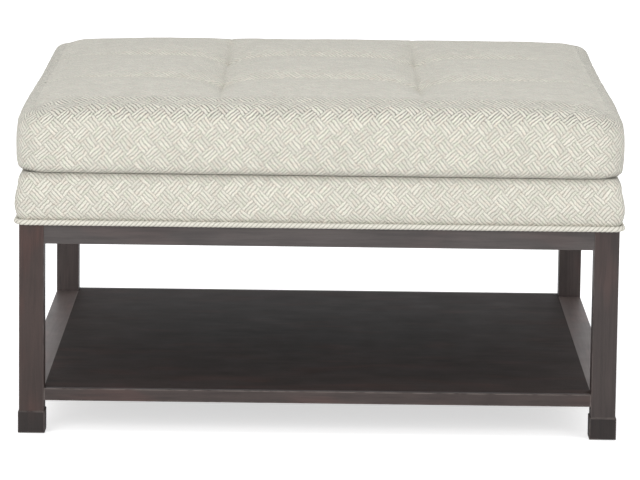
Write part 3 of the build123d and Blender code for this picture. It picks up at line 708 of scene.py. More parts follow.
class CushionForm:
    """The cushion's surface: a square top grid, and rings that go down its sides and under it."""

    EDGE_CELL = 0.0088  # width of the top's cells over the last third of the way out
    ROLL_STEPS, SIDE_STEPS, FOOT_STEPS, TURN_IN_STEPS = 7, 10, 4, 3
    SCALLOP_REACH = 0.022  # along the edge, from the end of a seam
    PLEATS, PLEAT_REACH = 7, 0.02  # round a tuft, and how far from it they are highest
    CROWN_POWER = 5  # the higher, the flatter the top and the steeper its edges
    PULL_POWER = 4.0  # the higher, the narrower the valley of a seam
    FADE_START, FADE_LENGTH = 0.50, 0.48  # where a seam's depth begins to go, and over how much of the way
    CORNER_START = 0.55  # share of the way out where the top grid's squares begin to turn round
    CORNER_POWER = 8  # the higher, the nearer to a corner the roll gets lower
    SIDE_FROM, SIDE_OVER, SIDE_POWER = 0.12, 0.76, 0.8  # stretch of a half wave that a side's fullness follows
    EDGE_WAVE, TOP_WAVE, SIDE_WAVE, FOOT_WAVE = 0.0008, 0.0006, 0.0011, 0.0005  # unevenness of stuffed cloth
    TUFT_HOLD = 0.009  # cover held down round a tuft
    SEAM_NEAR = 0.001  # points this near a seam lie on it
    SIDE_HOLD = 0.35  # how tightly the rest of the cover is held

    def __init__(self, sizes):
        self.sizes = sizes
        self.half = (cushion_high.x - cushion_low.x) / 2
        self.foot = cushion_low.z
        self.top_half = self.half - sizes.top_roll
        self.corner = sizes.corner_radius - sizes.top_roll
        self.seam = self.half / 3
        half_cells = sizes.panel_cells // 2
        closing = [(i / half_cells) ** 1.5 for i in range(half_cells + 1)]
        reach = [self.seam * (1 - part) for part in reversed(closing[1:])]
        reach += [self.seam + self.seam * part for part in closing[:-1]]
        left = self.top_half - 2 * self.seam
        rest = max(round(left / self.EDGE_CELL), 2)
        reach += [2 * self.seam + left * i / rest for i in range(rest + 1)]
        self.cuts = [-r for r in reversed(reach[1:])] + reach

    def edge_height(self, x, y):
        """Height of the top edge at a place, carried inwards over the top."""
        sizes = self.sizes
        u, v = x / self.top_half, y / self.top_half
        lean = sizes.lean_back * v + sizes.lean_right * u + sizes.edge_lift * v * v
        if v > 0:
            droop = (sizes.rear_droop - sizes.rear_skew * u) * min(abs(u * v), 1.0) ** 13
        else:
            droop = sizes.front_droop * min(abs(u), 1.0) ** 9 * min(abs(v), 1.0) ** 5
        near = min(abs(abs(x) - self.seam), abs(abs(y) - self.seam))
        dip = sizes.edge_scallop * math.exp(-((near / self.SCALLOP_REACH) ** 2))
        return self.foot + sizes.edge_rise + lean - droop - dip + self.EDGE_WAVE * soft_wave(x * 1.7, y * 1.7)

    def top_height(self, x, y):
        """Height of the tufted top."""
        sizes = self.sizes
        u, v = min(abs(x) / self.top_half, 1.0), min(abs(y) / self.top_half, 1.0)
        rim = self.edge_height(x, y)
        rounding = (1 - u**self.CROWN_POWER) * (1 - v**self.CROWN_POWER)
        crown = rim + (self.foot + sizes.crown_rise - rim) * rounding
        column, row = abs(abs(x) - self.seam), abs(abs(y) - self.seam)
        sink = sizes.seam_sink * (self.pull(column) * self.fade(v) + self.pull(row) * self.fade(u))
        away = math.hypot(column, row)
        dimple = sizes.tuft_sink * math.exp(-((away / sizes.tuft_width) ** 2))
        turn = math.atan2(abs(y) - self.seam, abs(x) - self.seam)
        reached = away / self.PLEAT_REACH
        pleats = sizes.pucker * math.sin(self.PLEATS * turn + 3 * x) * reached * math.exp(1 - reached)
        return crown - sink - dimple + pleats + self.TOP_WAVE * soft_wave(x * 2.3, y * 2.3)

    def pull(self, distance):
        """How strongly a seam still pulls at a distance, from 1 at the seam to 0."""
        return max(1 - distance / self.seam, 0.0) ** self.PULL_POWER

    def fade(self, share_out):
        """How much of a seam's depth is left at a share of the way out to the edge."""
        return 1 - ease((share_out - self.FADE_START) / self.FADE_LENGTH)

    def top_point(self, px, py):
        """A point of the top, from its place on the square grid."""
        reach, small = max(abs(px), abs(py)), min(abs(px), abs(py))
        out = (reach / self.top_half - self.CORNER_START) / (1 - self.CORNER_START)
        corner = max(self.corner * ease(out), 1e-6)
        x, y = self.rounded(px, py, reach, small, corner, corner)
        return x, y, self.top_height(x, y)

    def rounded(self, px, py, reach, small, corner, radius):
        """A point of a square ring, moved on to the ring's rounded corner."""
        straight = reach - corner
        if small <= straight:
            big = straight + radius
        else:
            turn = (small - straight) / corner * math.pi / 4
            big = straight + radius * math.cos(turn)
            small = straight + radius * math.sin(turn)
        if abs(px) >= abs(py):
            return math.copysign(big, px), math.copysign(small, py)
        return math.copysign(small, px), math.copysign(big, py)

    def side_point(self, px, py, out):
        """Place of a ring's point down the side, by how far it lies outside the top grid."""
        small = min(abs(px), abs(py))
        return self.rounded(px, py, self.top_half, small, self.corner, self.corner + out)

    def firmness(self, mesh):
        """How tightly each point of the cover is held: fully at seams, tufts and foot."""
        top_from, top_within = self.foot + 0.7 * self.sizes.edge_rise, self.top_half - 0.01
        foot_to = self.foot + 0.5 * self.sizes.foot_roll
        firm = []
        for vertex in mesh.vertices:
            x, y, z = vertex.co
            if z > top_from and max(abs(x), abs(y)) < top_within:
                on_seam = min(abs(abs(x) - self.seam), abs(abs(y) - self.seam)) < self.SEAM_NEAR
                away = math.hypot(abs(x) - self.seam, abs(y) - self.seam)
                other = max(abs(x), abs(y)) / self.top_half if on_seam else 0.0
                firm.append(1.0 if away < self.TUFT_HOLD else self.fade(other) * on_seam)
            else:
                firm.append(1.0 if z < foot_to else self.SIDE_HOLD)
        return firm

    def profile(self):
        """Steps from the top ring down to the turned-in foot, each a kind and its two sizes."""
        sizes = self.sizes
        side = sizes.top_roll - sizes.draw_in
        steps = []
        for i in range(1, self.ROLL_STEPS + 1):
            part = i / self.ROLL_STEPS
            turn = math.pi / 2 * part
            steps.append(("roll", sizes.top_roll * math.sin(turn) - sizes.draw_in * part, 1 - math.cos(turn)))
        steps += [("side", i / self.SIDE_STEPS, 0.0) for i in range(1, self.SIDE_STEPS)]
        for i in range(self.FOOT_STEPS + 1):
            turn = math.pi / 2 * i / self.FOOT_STEPS
            steps.append((
                "foot", side - sizes.foot_roll * (1 - math.cos(turn)), sizes.foot_roll * (1 - math.sin(turn))
            ))
        for i in range(1, self.TURN_IN_STEPS + 1):
            steps.append(("foot", side - sizes.foot_roll - sizes.turn_in * i / self.TURN_IN_STEPS, 0.0))
        return steps

    def ring(self):
        """Cells of the top grid's edge, round from the middle of the rear."""
        last, middle = len(self.cuts) - 1, len(self.cuts) // 2
        ring = [(i, last) for i in range(middle, 0, -1)]
        ring += [(0, j) for j in range(last, 0, -1)]
        ring += [(i, 0) for i in range(last)]
        ring += [(last, j) for j in range(last)]
        return ring + [(i, last) for i in range(last, middle, -1)]

    def under_edge(self, step, px, py, edge):
        """A point of the sides or the foot: a step of the profile, under a point of the top's edge."""
        sizes = self.sizes
        kind, first, second = step
        at_corner = (min(abs(px), abs(py)) / self.top_half) ** self.CORNER_POWER
        roll = sizes.top_roll - sizes.corner_roll * at_corner
        if kind == "roll":
            out, height = first, edge - second * roll
        elif kind == "side":
            top, foot = edge - roll, self.foot + sizes.foot_roll
            full = math.sin(math.pi * (self.SIDE_FROM + self.SIDE_OVER * first)) ** self.SIDE_POWER
            out = sizes.top_roll - sizes.draw_in + sizes.draw_in * full
            height = top + (foot - top) * first
        else:
            out, height = first, self.foot + second
        x, y = self.side_point(px, py, out)
        if kind == "side":
            grown = 1 + self.SIDE_WAVE * soft_wave(x * 1.3, y * 1.3, height * 2.0) / math.hypot(x, y)
            x, y = x * grown, y * grown
        elif kind == "foot" and second > 0.0:
            height += self.FOOT_WAVE * (1 + soft_wave(x * 3.1 + 0.7, y * 3.1))
        return x, y, height

    def build(self):
        """The whole closed surface, with cloth coordinates."""
        across, ring = len(self.cuts), self.ring()
        size, front = len(ring), ring.index((across // 2, 0))
        vertices = [self.top_point(x, y) for y in self.cuts for x in self.cuts]
        places = [(self.cuts[i], self.cuts[j]) for i, j in ring]
        rows = [[j * across + i for i, j in ring]]
        edges = [vertices[index][2] for index in rows[0]]
        for step in self.profile():
            rows.append(list(range(len(vertices), len(vertices) + size)))
            vertices += [self.under_edge(step, px, py, edge) for (px, py), edge in zip(places, edges)]
        along = cloth_round([self.side_point(px, py, self.sizes.top_roll) for px, py in places], front)
        down = [0.0]
        for above, row in zip(rows, rows[1:]):
            down.append(down[-1] + math.dist(vertices[row[size // 2]], vertices[above[size // 2]]))
        faces, corners = [], []
        for j in range(across - 1):
            for i in range(across - 1):
                quad = [(i, j), (i + 1, j), (i + 1, j + 1), (i, j + 1)]
                faces.append([b * across + a for a, b in quad])
                corners.append([(self.cuts[a], self.cuts[b] + self.top_half) for a, b in quad])
        for level, (above, row) in enumerate(zip(rows, rows[1:])):
            for k in range(size):
                after = (k + 1) % size
                faces.append([above[k], row[k], row[after], above[after]])
                corners.append([
                    (along[a], -down[b])
                    for a, b in ((k, level), (k, level + 1), (k + 1, level + 1), (k + 1, level))
                ])
        return mesh_from("cushion", vertices, faces, corners)


SETTLING_FRAMES = 20


def settle(mesh, firm, reach):
    """Lets the cover swell and pucker as cloth. Firm gives how tightly each point is held."""
    holder = bpy.data.objects.new("settling", mesh.copy())
    bpy.context.scene.collection.objects.link(holder)
    held = holder.vertex_groups.new(name="held")
    for index, weight in enumerate(firm):
        held.add([index], weight, "REPLACE")
    cloth = holder.modifiers.new("cloth", "CLOTH")
    for option, value in {
        "quality": 6, "mass": 0.3, "air_damping": 2.0,
        "tension_stiffness": 12.0, "compression_stiffness": 12.0, "shear_stiffness": 6.0, "bending_stiffness": 0.6,
        "shrink_min": -0.012, "use_pressure": True, "uniform_pressure_force": 4.0,
        "vertex_group_mass": "held", "pin_stiffness": 1.0,
    }.items():
        setattr(cloth.settings, option, value)
    cloth.settings.effector_weights.gravity = 0.0
    scene = bpy.context.scene
    for frame_number in range(1, SETTLING_FRAMES + 1):
        scene.frame_set(frame_number)
    graph = bpy.context.evaluated_depsgraph_get()
    swollen = holder.evaluated_get(graph).data
    for vertex, moved in zip(mesh.vertices, swollen.vertices):
        shift = moved.co - vertex.co
        if shift.length > reach:
            shift *= reach / shift.length
        vertex.co += shift
    scene.frame_set(1)
    bpy.data.objects.remove(holder)


def crease(mesh, form):
    """Draws a sharp groove along each seam of the top, deepest at the tufts and gone before the edge."""
    sizes = form.sizes
    fade_start, fade_length = 0.80, 0.17  # shares of the way out
    least, tuft_reach = 0.30, 0.05  # share of the depth far from a tuft, and how far a tuft deepens it
    limit = form.foot + sizes.edge_rise - sizes.top_roll
    for vertex in mesh.vertices:
        x, y, z = vertex.co
        if z < limit:
            continue
        depth = 0.0
        for own, other in ((x, y), (y, x)):
            part = max(1 - abs(abs(own) - form.seam) / sizes.groove_width, 0.0)
            fade = 1 - min(max((abs(other) / form.half - fade_start) / fade_length, 0.0), 1.0)
            near = least + (1 - least) * math.exp(-abs(abs(other) - form.seam) / tuft_reach)
            depth = max(depth, sizes.groove_depth * fade * near * part)
        vertex.co.z = z - depth


class OTTOMAN_OT_cushion(bpy.types.Operator):
    """Make the biscuit-tufted cushion."""

    bl_idname = "ottoman.cushion"
    bl_label = "Cushion"

    def execute(self, context):
        form = CushionForm(settings("cushion"))
        cage = form.build()
        settle(cage, form.firmness(cage), form.sizes.swell)
        mesh = divided(cage, "cushion")
        crease(mesh, form)
        piece = add_piece(
            "cushion", mesh, material(upholstery_material), "upholstery_fabric", "cushion_cover", "cushion_foam"
        )
        return {"FINISHED"}


def tube(points, sides):
    """Points and faces of a closed tube along a path of (place, radius)."""
    vertices, faces = [], []
    for i, (place, radius) in enumerate(points):
        before, after = points[max(i - 1, 0)][0], points[min(i + 1, len(points) - 1)][0]
        ahead = (after - before).normalized()
        first = ahead.orthogonal().normalized() if i == 0 else (first - ahead * first.dot(ahead)).normalized()
        second = ahead.cross(first)
        for k in range(sides):
            turn = math.tau * k / sides
            vertices.append(place + (first * math.cos(turn) + second * math.sin(turn)) * radius)
        if i:
            base = (i - 1) * sides
            for k in range(sides):
                after_k = (k + 1) % sides
                faces.append([base + k, base + after_k, base + sides + after_k, base + sides + k])
    faces.append([sides - 1 - k for k in range(sides)])
    faces.append([len(vertices) - sides + k for k in range(sides)])
    return vertices, faces


class OTTOMAN_OT_tuft_twines(bpy.types.Operator):
    """Make the crossed loops of twine that hold the tufts down on their toggles."""

    bl_idname = "ottoman.tuft_twines"
    bl_label = "Tuft twines"

    strand: length("Strand", "Radius of the twine", 0.00045)
    stitch: length("Stitch", "Half the length of a stitch on the cover", 0.0050)
    stitch_radius: length("Stitch radius", "Radius of the twine in the stitch", 0.00080)
    crossing: length("Crossing", "How much higher the upper stitch of a pair lies", 0.0013)

    def loop(self, middle, across, level, near, foot):
        """Path of one loop: up from the toggle, over the cover as a stitch, and down again."""
        ends = [middle + across * self.stitch * end for end in (-1, 1)]
        under = [min(near, key=lambda place: (place.xy - end.xy).length).z for end in ends]
        half_steps, level_steps = 6, 4  # of the stitch, and of its part that lies on the cover
        clear, dive = 0.0002, 0.0012  # above the cover, and down at each step beyond the level part
        path = []
        for part in range(-half_steps, half_steps + 1):
            spot = middle + across * self.stitch * part / half_steps
            rest = under[0] + (under[1] - under[0]) * (part + half_steps) / (2 * half_steps)
            spot.z = rest + level + clear - max(abs(part) - level_steps, 0) * dive
            path.append((spot, self.stitch_radius))
        deep = path[0][0].z - 0.006
        first, last = middle - across * self.strand, middle + across * self.strand
        rise = [(Vector((*first.xy, height)), self.strand) for height in (foot, deep)]
        fall = [(Vector((*last.xy, height)), self.strand) for height in (deep, foot)]
        return rise + path + fall

    def execute(self, context):
        low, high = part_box("tuft_twines")
        reach = (high.x + abs(low.x)) / 2 - 0.001
        around, below = 0.012, 0.05  # how far from a tuft, and under the twines' top, the cover counts as near
        cover = [vertex.co for vertex in bpy.data.objects["cushion"].data.vertices]
        top = [spot for spot in cover if spot.z > high.z - below]
        vertices, faces = [], []
        for x, y in ((-reach, -reach), (reach, -reach), (-reach, reach), (reach, reach)):
            near = [spot for spot in top if math.hypot(spot.x - x, spot.y - y) < around]
            for turn, level in ((math.pi / 4, 0.0), (3 * math.pi / 4, self.crossing)):
                across = Vector((math.cos(turn), math.sin(turn), 0))
                points, made = tube(self.loop(Vector((x, y, 0)), across, level, near, low.z), 10)
                faces += [[index + len(vertices) for index in face] for face in made]
                vertices += points
        mesh = bpy.data.meshes.new("tuft_loops")
        mesh.from_pydata(vertices, [], faces)
        for polygon in mesh.polygons:
            polygon.use_smooth = len(polygon.vertices) == 4
        add_piece("tuft_loops", mesh, material(thread_material), "tufting_twine", "tuft_twines")
        return {"FINISHED"}


def ring_of(half, corner, side_cells, corner_cells):
    """Places round a rounded square from the middle of the rear, each with its outward direction."""
    straight = half - corner
    places = []
    for quarter in range(4):
        turn = math.pi / 2 * (quarter + 1)
        along = Vector((-math.sin(turn), math.cos(turn)))
        out = Vector((math.cos(turn), math.sin(turn)))
        first = side_cells // 2 if quarter == 0 else 0
        for i in range(first, side_cells):
            reach = straight * (2 * i / side_cells - 1)
            places.append((out * half + along * reach, out))
        centre = (out + along) * straight
        for i in range(corner_cells):
            bend = turn + math.pi / 2 * i / corner_cells
            outward = Vector((math.cos(bend), math.sin(bend)))
            places.append((centre + outward * corner, outward))
    out, along = Vector((0, 1)), Vector((-1, 0))
    for i in range(side_cells // 2):
        places.append((out * half + along * straight * (2 * i / side_cells - 1), out))
    return places


class OTTOMAN_OT_border(bpy.types.Operator):
    """Make the padded border of the deck."""

    bl_idname = "ottoman.border"
    bl_label = "Deck border"

    def section(self, sizes, welt):
        """Closed outline of the padding: (out, height), from the inner top round to the inner foot."""
        foot, top = border_low.z, border_high.z
        lip = -0.035  # how far the border reaches in over the deck board, under the cushion
        inner = 0.0004  # its inner face, clear of the deck rails
        under_lip = top - 0.0009
        at_welt = sizes.foot_out - 0.0006  # tucked in behind the welt
        roll_start = 0.0010
        roll_steps, belly_steps, inner_steps = 7, 12, 8
        outline = [Vector((lip, top)), Vector((0.0, top))]
        for i in range(roll_steps + 1):
            turn = math.pi / 2 * (1 - i / roll_steps)
            out = roll_start + (sizes.shoulder_out - roll_start) * math.cos(turn)
            outline.append(Vector((out, top - sizes.roll * (1 - math.sin(turn)))))
        over = foot + 2 * welt.radius + 0.0004
        shoulder = outline[-1]
        for i in range(1, belly_steps):
            part = i / belly_steps
            full = math.sin(math.pi * part**1.3) ** 0.7
            base = shoulder.x + (sizes.foot_out - shoulder.x) * part
            peak = sizes.belly_out - (sizes.foot_out + shoulder.x) / 2
            outline.append(Vector((base + peak * full, shoulder.y + (over - shoulder.y) * part)))
        outline += [Vector((sizes.foot_out, over)), Vector((at_welt, foot + welt.radius))]
        outline += [Vector((at_welt, foot + 0.0001)), Vector((inner, foot + 0.0001))]
        outline += [Vector((inner, foot + (top - foot) * i / inner_steps)) for i in range(1, inner_steps)]
        outline += [Vector((inner, under_lip)), Vector((lip, under_lip))]
        return outline

    def execute(self, context):
        sizes = settings("border")
        half = (deck_high.x - deck_low.x) / 2
        wave = 0.0007  # unevenness of the stuffed border
        places = ring_of(half, DECK_CORNER, sizes.side_cells, 8)
        outline = self.section(sizes, settings("welt"))
        vertices = []
        for place, outward in places:
            for out, height in outline:
                bulge = 0.0
                if out > sizes.foot_out:
                    bulge = wave * soft_wave(place.x * 1.9, place.y * 1.9, height * 2.5)
                spot = place * (1 + out / half) if out < 0 else place + outward * (out + bulge)
                vertices.append((spot.x, spot.y, height))
        along = cloth_round([place + outward * sizes.belly_out for place, outward in places], len(places) // 2)
        down = [0.0]
        for a, b in zip(outline, outline[1:] + outline[:1]):
            down.append(down[-1] + (b - a).length)
        start = -0.060  # where the border's cloth begins in the weave
        rows, size = len(outline), len(places)
        faces, corners = [], []
        for k in range(size):
            after = (k + 1) % size
            for r in range(rows):
                below = (r + 1) % rows
                faces.append([k * rows + r, k * rows + below, after * rows + below, after * rows + r])
                corners.append([
                    (along[a] - sizes.lean * down[b], start - down[b])
                    for a, b in ((k, r), (k, r + 1), (k + 1, r + 1), (k + 1, r))
                ])
        mesh = divided(mesh_from("deck_border", vertices, faces, corners), "deck_border")
        replaced = ["border_cover"] + ["border_pad_" + side for side in SIDES]
        piece = add_piece("deck_border", mesh, material(upholstery_material), "upholstery_fabric", *replaced)
        return {"FINISHED"}


def geometry_tree(name, inputs):
    """An empty geometry node tree with named inputs."""
    tree = bpy.data.node_groups.new(name, "GeometryNodeTree")
    tree.interface.new_socket("Geometry", in_out="INPUT", socket_type="NodeSocketGeometry")
    for title, kind in inputs:
        tree.interface.new_socket(title, in_out="INPUT", socket_type=kind)
    tree.interface.new_socket("Geometry", in_out="OUTPUT", socket_type="NodeSocketGeometry")
    made = Tree(tree)
    return made, made.add("NodeGroupInput").outputs, made.add("NodeGroupOutput").inputs


def put_out_shape(made, given, out, shape):
    """Ends a geometry tree with real geometry in its material, and gives the tree."""
    real = made.get("GeometryNodeRealizeInstances", shape)
    painted = made.get("GeometryNodeSetMaterial", inputs={"Geometry": real, "Material": given["Material"]})
    made.link(painted, out[0])
    return made.tree


def welt_tree():
    """A cord along a rounded square, with slanted floats raised on it."""
    made, given, out = geometry_tree(
        "Welt Lay",
        [
            ("Half Size", FLOAT), ("Corner", FLOAT), ("Height", FLOAT), ("Radius", FLOAT), ("Step", FLOAT),
            ("Sides", WHOLE), ("Pitch", FLOAT), ("Rise", FLOAT), ("Material", FINISH),
        ],
    )

    def stored(geometry, name, value, kind="FLOAT", domain="POINT"):
        return made.get(
            "GeometryNodeStoreNamedAttribute", inputs={"Geometry": geometry, "Name": name, "Value": value},
            data_type=kind, domain=domain,
        )

    def named(name):
        return made.get("GeometryNodeInputNamedAttribute", inputs={"Name": name}, data_type="FLOAT")

    side = made.math("MULTIPLY", given["Half Size"], 2.0)
    square = made.get("GeometryNodeCurvePrimitiveQuadrilateral", inputs={"Width": side, "Height": side})
    bent = made.get(
        "GeometryNodeFilletCurve", inputs={"Curve": square, "Radius": given["Corner"], "Count": 10}, mode="POLY"
    )
    fine = made.get("GeometryNodeResampleCurve", inputs={"Curve": bent, "Length": given["Step"]}, mode="LENGTH")
    lift = made.joined(0.0, 0.0, given["Height"])
    lifted = made.get("GeometryNodeSetPosition", inputs={"Geometry": fine, "Offset": lift})
    path = made.add("GeometryNodeSplineParameter").outputs["Length"]
    circle = made.get(
        "GeometryNodeCurvePrimitiveCircle", inputs={"Resolution": given["Sides"], "Radius": given["Radius"]}
    )
    # half a turn puts the seam of the round coordinate against the deck
    turned = made.get("GeometryNodeTransform", inputs={"Geometry": circle, "Rotation": (0.0, 0.0, math.pi)})
    cord = made.get("GeometryNodeCurveToMesh", inputs={
        "Curve": stored(lifted, "along", path), "Profile Curve": stored(turned, "round", path)
    })
    along, around = named("along"), named("round")
    rise = made.math("MULTIPLY", welt_floats(made, along, around, given["Pitch"]), given["Rise"])
    shift = made.scaled(made.get("GeometryNodeInputNormal"), rise)
    raised = made.get("GeometryNodeSetPosition", inputs={"Geometry": cord, "Offset": shift})
    mapped = stored(raised, "Cloth", made.joined(along, around, 0.0), "FLOAT2", "CORNER")
    return put_out_shape(made, given, out, made.get("GeometryNodeSetShadeSmooth", inputs={"Geometry": mapped}))


class OTTOMAN_OT_welt(bpy.types.Operator):
    """Make the welt round the foot of the deck."""

    bl_idname = "ottoman.welt"
    bl_label = "Welt"

    def execute(self, context):
        sizes, border = settings("welt"), settings("border")
        half = (deck_high.x - deck_low.x) / 2 + border.foot_out + sizes.radius
        cloth = material(welt_material)
        mesh = evaluated_mesh(bpy.data.meshes.new("welt"), "welt", ("NODES", {
            "node_group": welt_tree(),
            "inputs": {
                "Half Size": half, "Corner": DECK_CORNER + border.foot_out + sizes.radius,
                "Height": border_low.z + sizes.radius, "Radius": sizes.radius, "Step": sizes.step,
                "Sides": sizes.sides, "Pitch": sizes.stroke_pitch, "Rise": sizes.stroke_rise, "Material": cloth,
            },
        }))
        add_piece("welt", mesh, cloth, "upholstery_fabric", "base_welt")
        return {"FINISHED"}


def screw_tree():
    """Countersunk screws with a cross recess and a thread, one on each point, driven along its direction."""
    made, given, out = geometry_tree(
        "Screws",
        [
            ("Length", FLOAT), ("Shank", FLOAT), ("Head", FLOAT), ("Head Height", FLOAT), ("Pitch", FLOAT),
            ("Material", FINISH),
        ],
    )

    def moved(shape, height):
        lift = made.joined(0.0, 0.0, height)
        return made.get("GeometryNodeTransform", inputs={"Geometry": shape, "Translation": lift})

    def share_of(title, factor):
        return made.math("MULTIPLY", given[title], factor)

    core = share_of("Shank", 0.74)
    rod_start, rod_end = share_of("Head Height", 0.8), share_of("Length", 0.84)
    rod = made.get("GeometryNodeMeshCylinder", inputs={
        "Vertices": 16, "Radius": core, "Depth": made.math("SUBTRACT", rod_end, rod_start)
    })
    rod_middle = made.math("MULTIPLY", made.math("ADD", rod_start, rod_end), 0.5)
    tip = made.get("GeometryNodeMeshCone", inputs={
        "Vertices": 16, "Radius Top": 0.0001, "Radius Bottom": core, "Depth": share_of("Length", 0.14)
    })
    head = made.get("GeometryNodeMeshCone", inputs={
        "Vertices": 32, "Radius Top": core, "Radius Bottom": given["Head"], "Depth": given["Head Height"]
    })
    wide, thin, deep = share_of("Head", 1.15), share_of("Head", 0.26), share_of("Head Height", 1.3)
    for size in ((wide, thin, deep), (thin, wide, made.math("MULTIPLY", deep, 0.94))):
        slot = made.get("GeometryNodeMeshCube", inputs={"Size": made.joined(*size)})
        head = made.get("GeometryNodeMeshBoolean", inputs={0: head, 1: slot}, operation="DIFFERENCE", solver="EXACT")
    threaded = share_of("Length", 0.62)
    helix = made.get("GeometryNodeCurveSpiral", inputs={
        "Resolution": 12, "Rotations": made.math("DIVIDE", threaded, given["Pitch"]), "Start Radius": core,
        "End Radius": core, "Height": threaded,
    })
    ridge = made.get("GeometryNodeCurvePrimitiveCircle", inputs={"Resolution": 4, "Radius": share_of("Shank", 0.26)})
    thread = made.get("GeometryNodeCurveToMesh", inputs={"Curve": helix, "Profile Curve": ridge, "Fill Caps": True})
    whole = made.add("GeometryNodeJoinGeometry")
    for part in (moved(rod, rod_middle), moved(tip, rod_end), head, moved(thread, share_of("Length", 0.22))):
        made.link(part, whole.inputs[0])
    drive = made.get("GeometryNodeInputNamedAttribute", inputs={"Name": "drive"}, data_type="FLOAT_VECTOR")
    turned = made.get("FunctionNodeAlignRotationToVector", inputs={"Vector": drive}, axis="Z")
    return put_out_shape(made, given, out, made.get("GeometryNodeInstanceOnPoints", inputs={
        "Points": given["Geometry"], "Instance": whole.outputs[0], "Rotation": turned
    }))


def screws_of(node):
    """Centre of each screw's head in a frame node, the way it is driven and its length."""
    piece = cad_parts[node]
    shape = bmesh.new()
    shape.from_mesh(piece.data)
    shape.transform(piece.matrix_world)
    bmesh.ops.remove_doubles(shape, verts=shape.verts, dist=1e-6)
    left, found = set(shape.verts), []
    while left:
        places, edge = [], [left.pop()]
        while edge:
            vertex = edge.pop()
            places.append(vertex.co)
            near = {link.other_vert(vertex) for link in vertex.link_edges} & left
            left -= near
            edge.extend(near)
        middle = sum(places, Vector()) / len(places)
        far = max(places, key=lambda place: (place - middle).length)
        axis = Vector([round(part) for part in (far - middle).normalized()])
        levels = [place.dot(axis) for place in places]
        ends = []
        for level, drive in ((min(levels), axis), (max(levels), -axis)):
            face = [place for place in places if abs(place.dot(axis) - level) < 1e-5]
            centre = sum(face, Vector()) / len(face)
            width = max((place - centre).length for place in face)
            ends.append((width, Vector([round(part, 5) for part in centre]), drive))
        width, centre, drive = max(ends, key=lambda end: end[0])
        found.append((centre, drive, round(max(levels) - min(levels), 5)))
    shape.free()
    return sorted(found, key=lambda screw: tuple(screw[0]))


class OTTOMAN_OT_screws(bpy.types.Operator):
    """Make the screws that show from below."""

    bl_idname = "ottoman.screws"
    bl_label = "Screws"

    shank: length("Shank", "Radius over the thread", 0.0021)
    head: length("Head", "Radius of the head", 0.0043)
    head_height: length("Head height", "Depth of the countersunk head", 0.0024)
    pitch: length("Pitch", "Rise of one turn of the thread", 0.0018)

    def execute(self, context):
        zinc = material(zinc_material)
        tree = screw_tree()
        for node in ("corner_block_screws", "deck_fixing_screws"):
            screws = screws_of(node)
            if len(screws) != 8:
                raise RuntimeError(f"{node}: {len(screws)} screws found")
            centres, drives, lengths = zip(*screws)
            points = bpy.data.meshes.new(node)
            points.from_pydata(centres, [], [])
            driven = points.attributes.new("drive", "FLOAT_VECTOR", "POINT")
            driven.data.foreach_set("vector", [part for drive in drives for part in drive])
            mesh = evaluated_mesh(points, node + "_visual", ("NODES", {
                "node_group": tree,
                "inputs": {
                    "Length": lengths[0], "Shank": self.shank, "Head": self.head,
                    "Head Height": self.head_height, "Pitch": self.pitch, "Material": zinc,
                },
            }))
            add_piece(node + "_visual", mesh, zinc, "zinc_screw", node)
        return {"FINISHED"}


class OTTOMAN_OT_dust_cover(bpy.types.Operator):
    """Make the black cloth under the deck."""

    bl_idname = "ottoman.dust_cover"
    bl_label = "Dust cover"

    sag: length("Sag", "How far the cloth hangs down in its middle", 0.004)
    sag_reach: length("Sag reach", "How far inside the aprons the cloth hangs fully", 0.16)
    cells: count("Cells", "Cells across the cloth", 90, 8)

    def execute(self, context):
        cells = self.cells
        width, depth = dust_high.x - dust_low.x, dust_high.y - dust_low.y
        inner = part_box("apron_front")[1].y
        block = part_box("corner_block_front_left")[1]
        diagonal = abs(block.x) + abs(block.y)
        vertices, faces, corners = [], [], []
        for j in range(cells + 1):
            for i in range(cells + 1):
                x = dust_low.x + width * i / cells
                y = dust_low.y + depth * j / cells
                inside = min(abs(inner) - max(abs(x), abs(y)), diagonal - abs(x) - abs(y))
                hang = self.sag * ease(inside / self.sag_reach) * (0.8 + 0.2 * soft_wave(x * 2, y * 2))
                vertices.append((x, y, (dust_low.z + dust_high.z) / 2 - hang))
        for j in range(cells):
            for i in range(cells):
                corner = j * (cells + 1) + i
                faces.append([corner, corner + 1, corner + cells + 2, corner + cells + 1])
                corners.append([vertices[index][:2] for index in faces[-1]])
        mesh = evaluated_mesh(mesh_from("dust_cloth", vertices, faces, corners), "dust_cloth", (
            "SOLIDIFY", {"thickness": 0.0003, "offset": 0.0}
        ))
        piece = add_piece("dust_cloth", mesh, material(dust_cloth_material), "dust_cloth", "dust_cover")
        for polygon in mesh.polygons:
            polygon.use_smooth = True
        return {"FINISHED"}


# Finishes of the pieces that stay as the frame has them


def paint(node, made):
    """Gives a frame node a material."""
    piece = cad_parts[node]
    for place in piece.material_slots:
        place.material = made
    if not piece.material_slots:
        piece.data.materials.append(made)


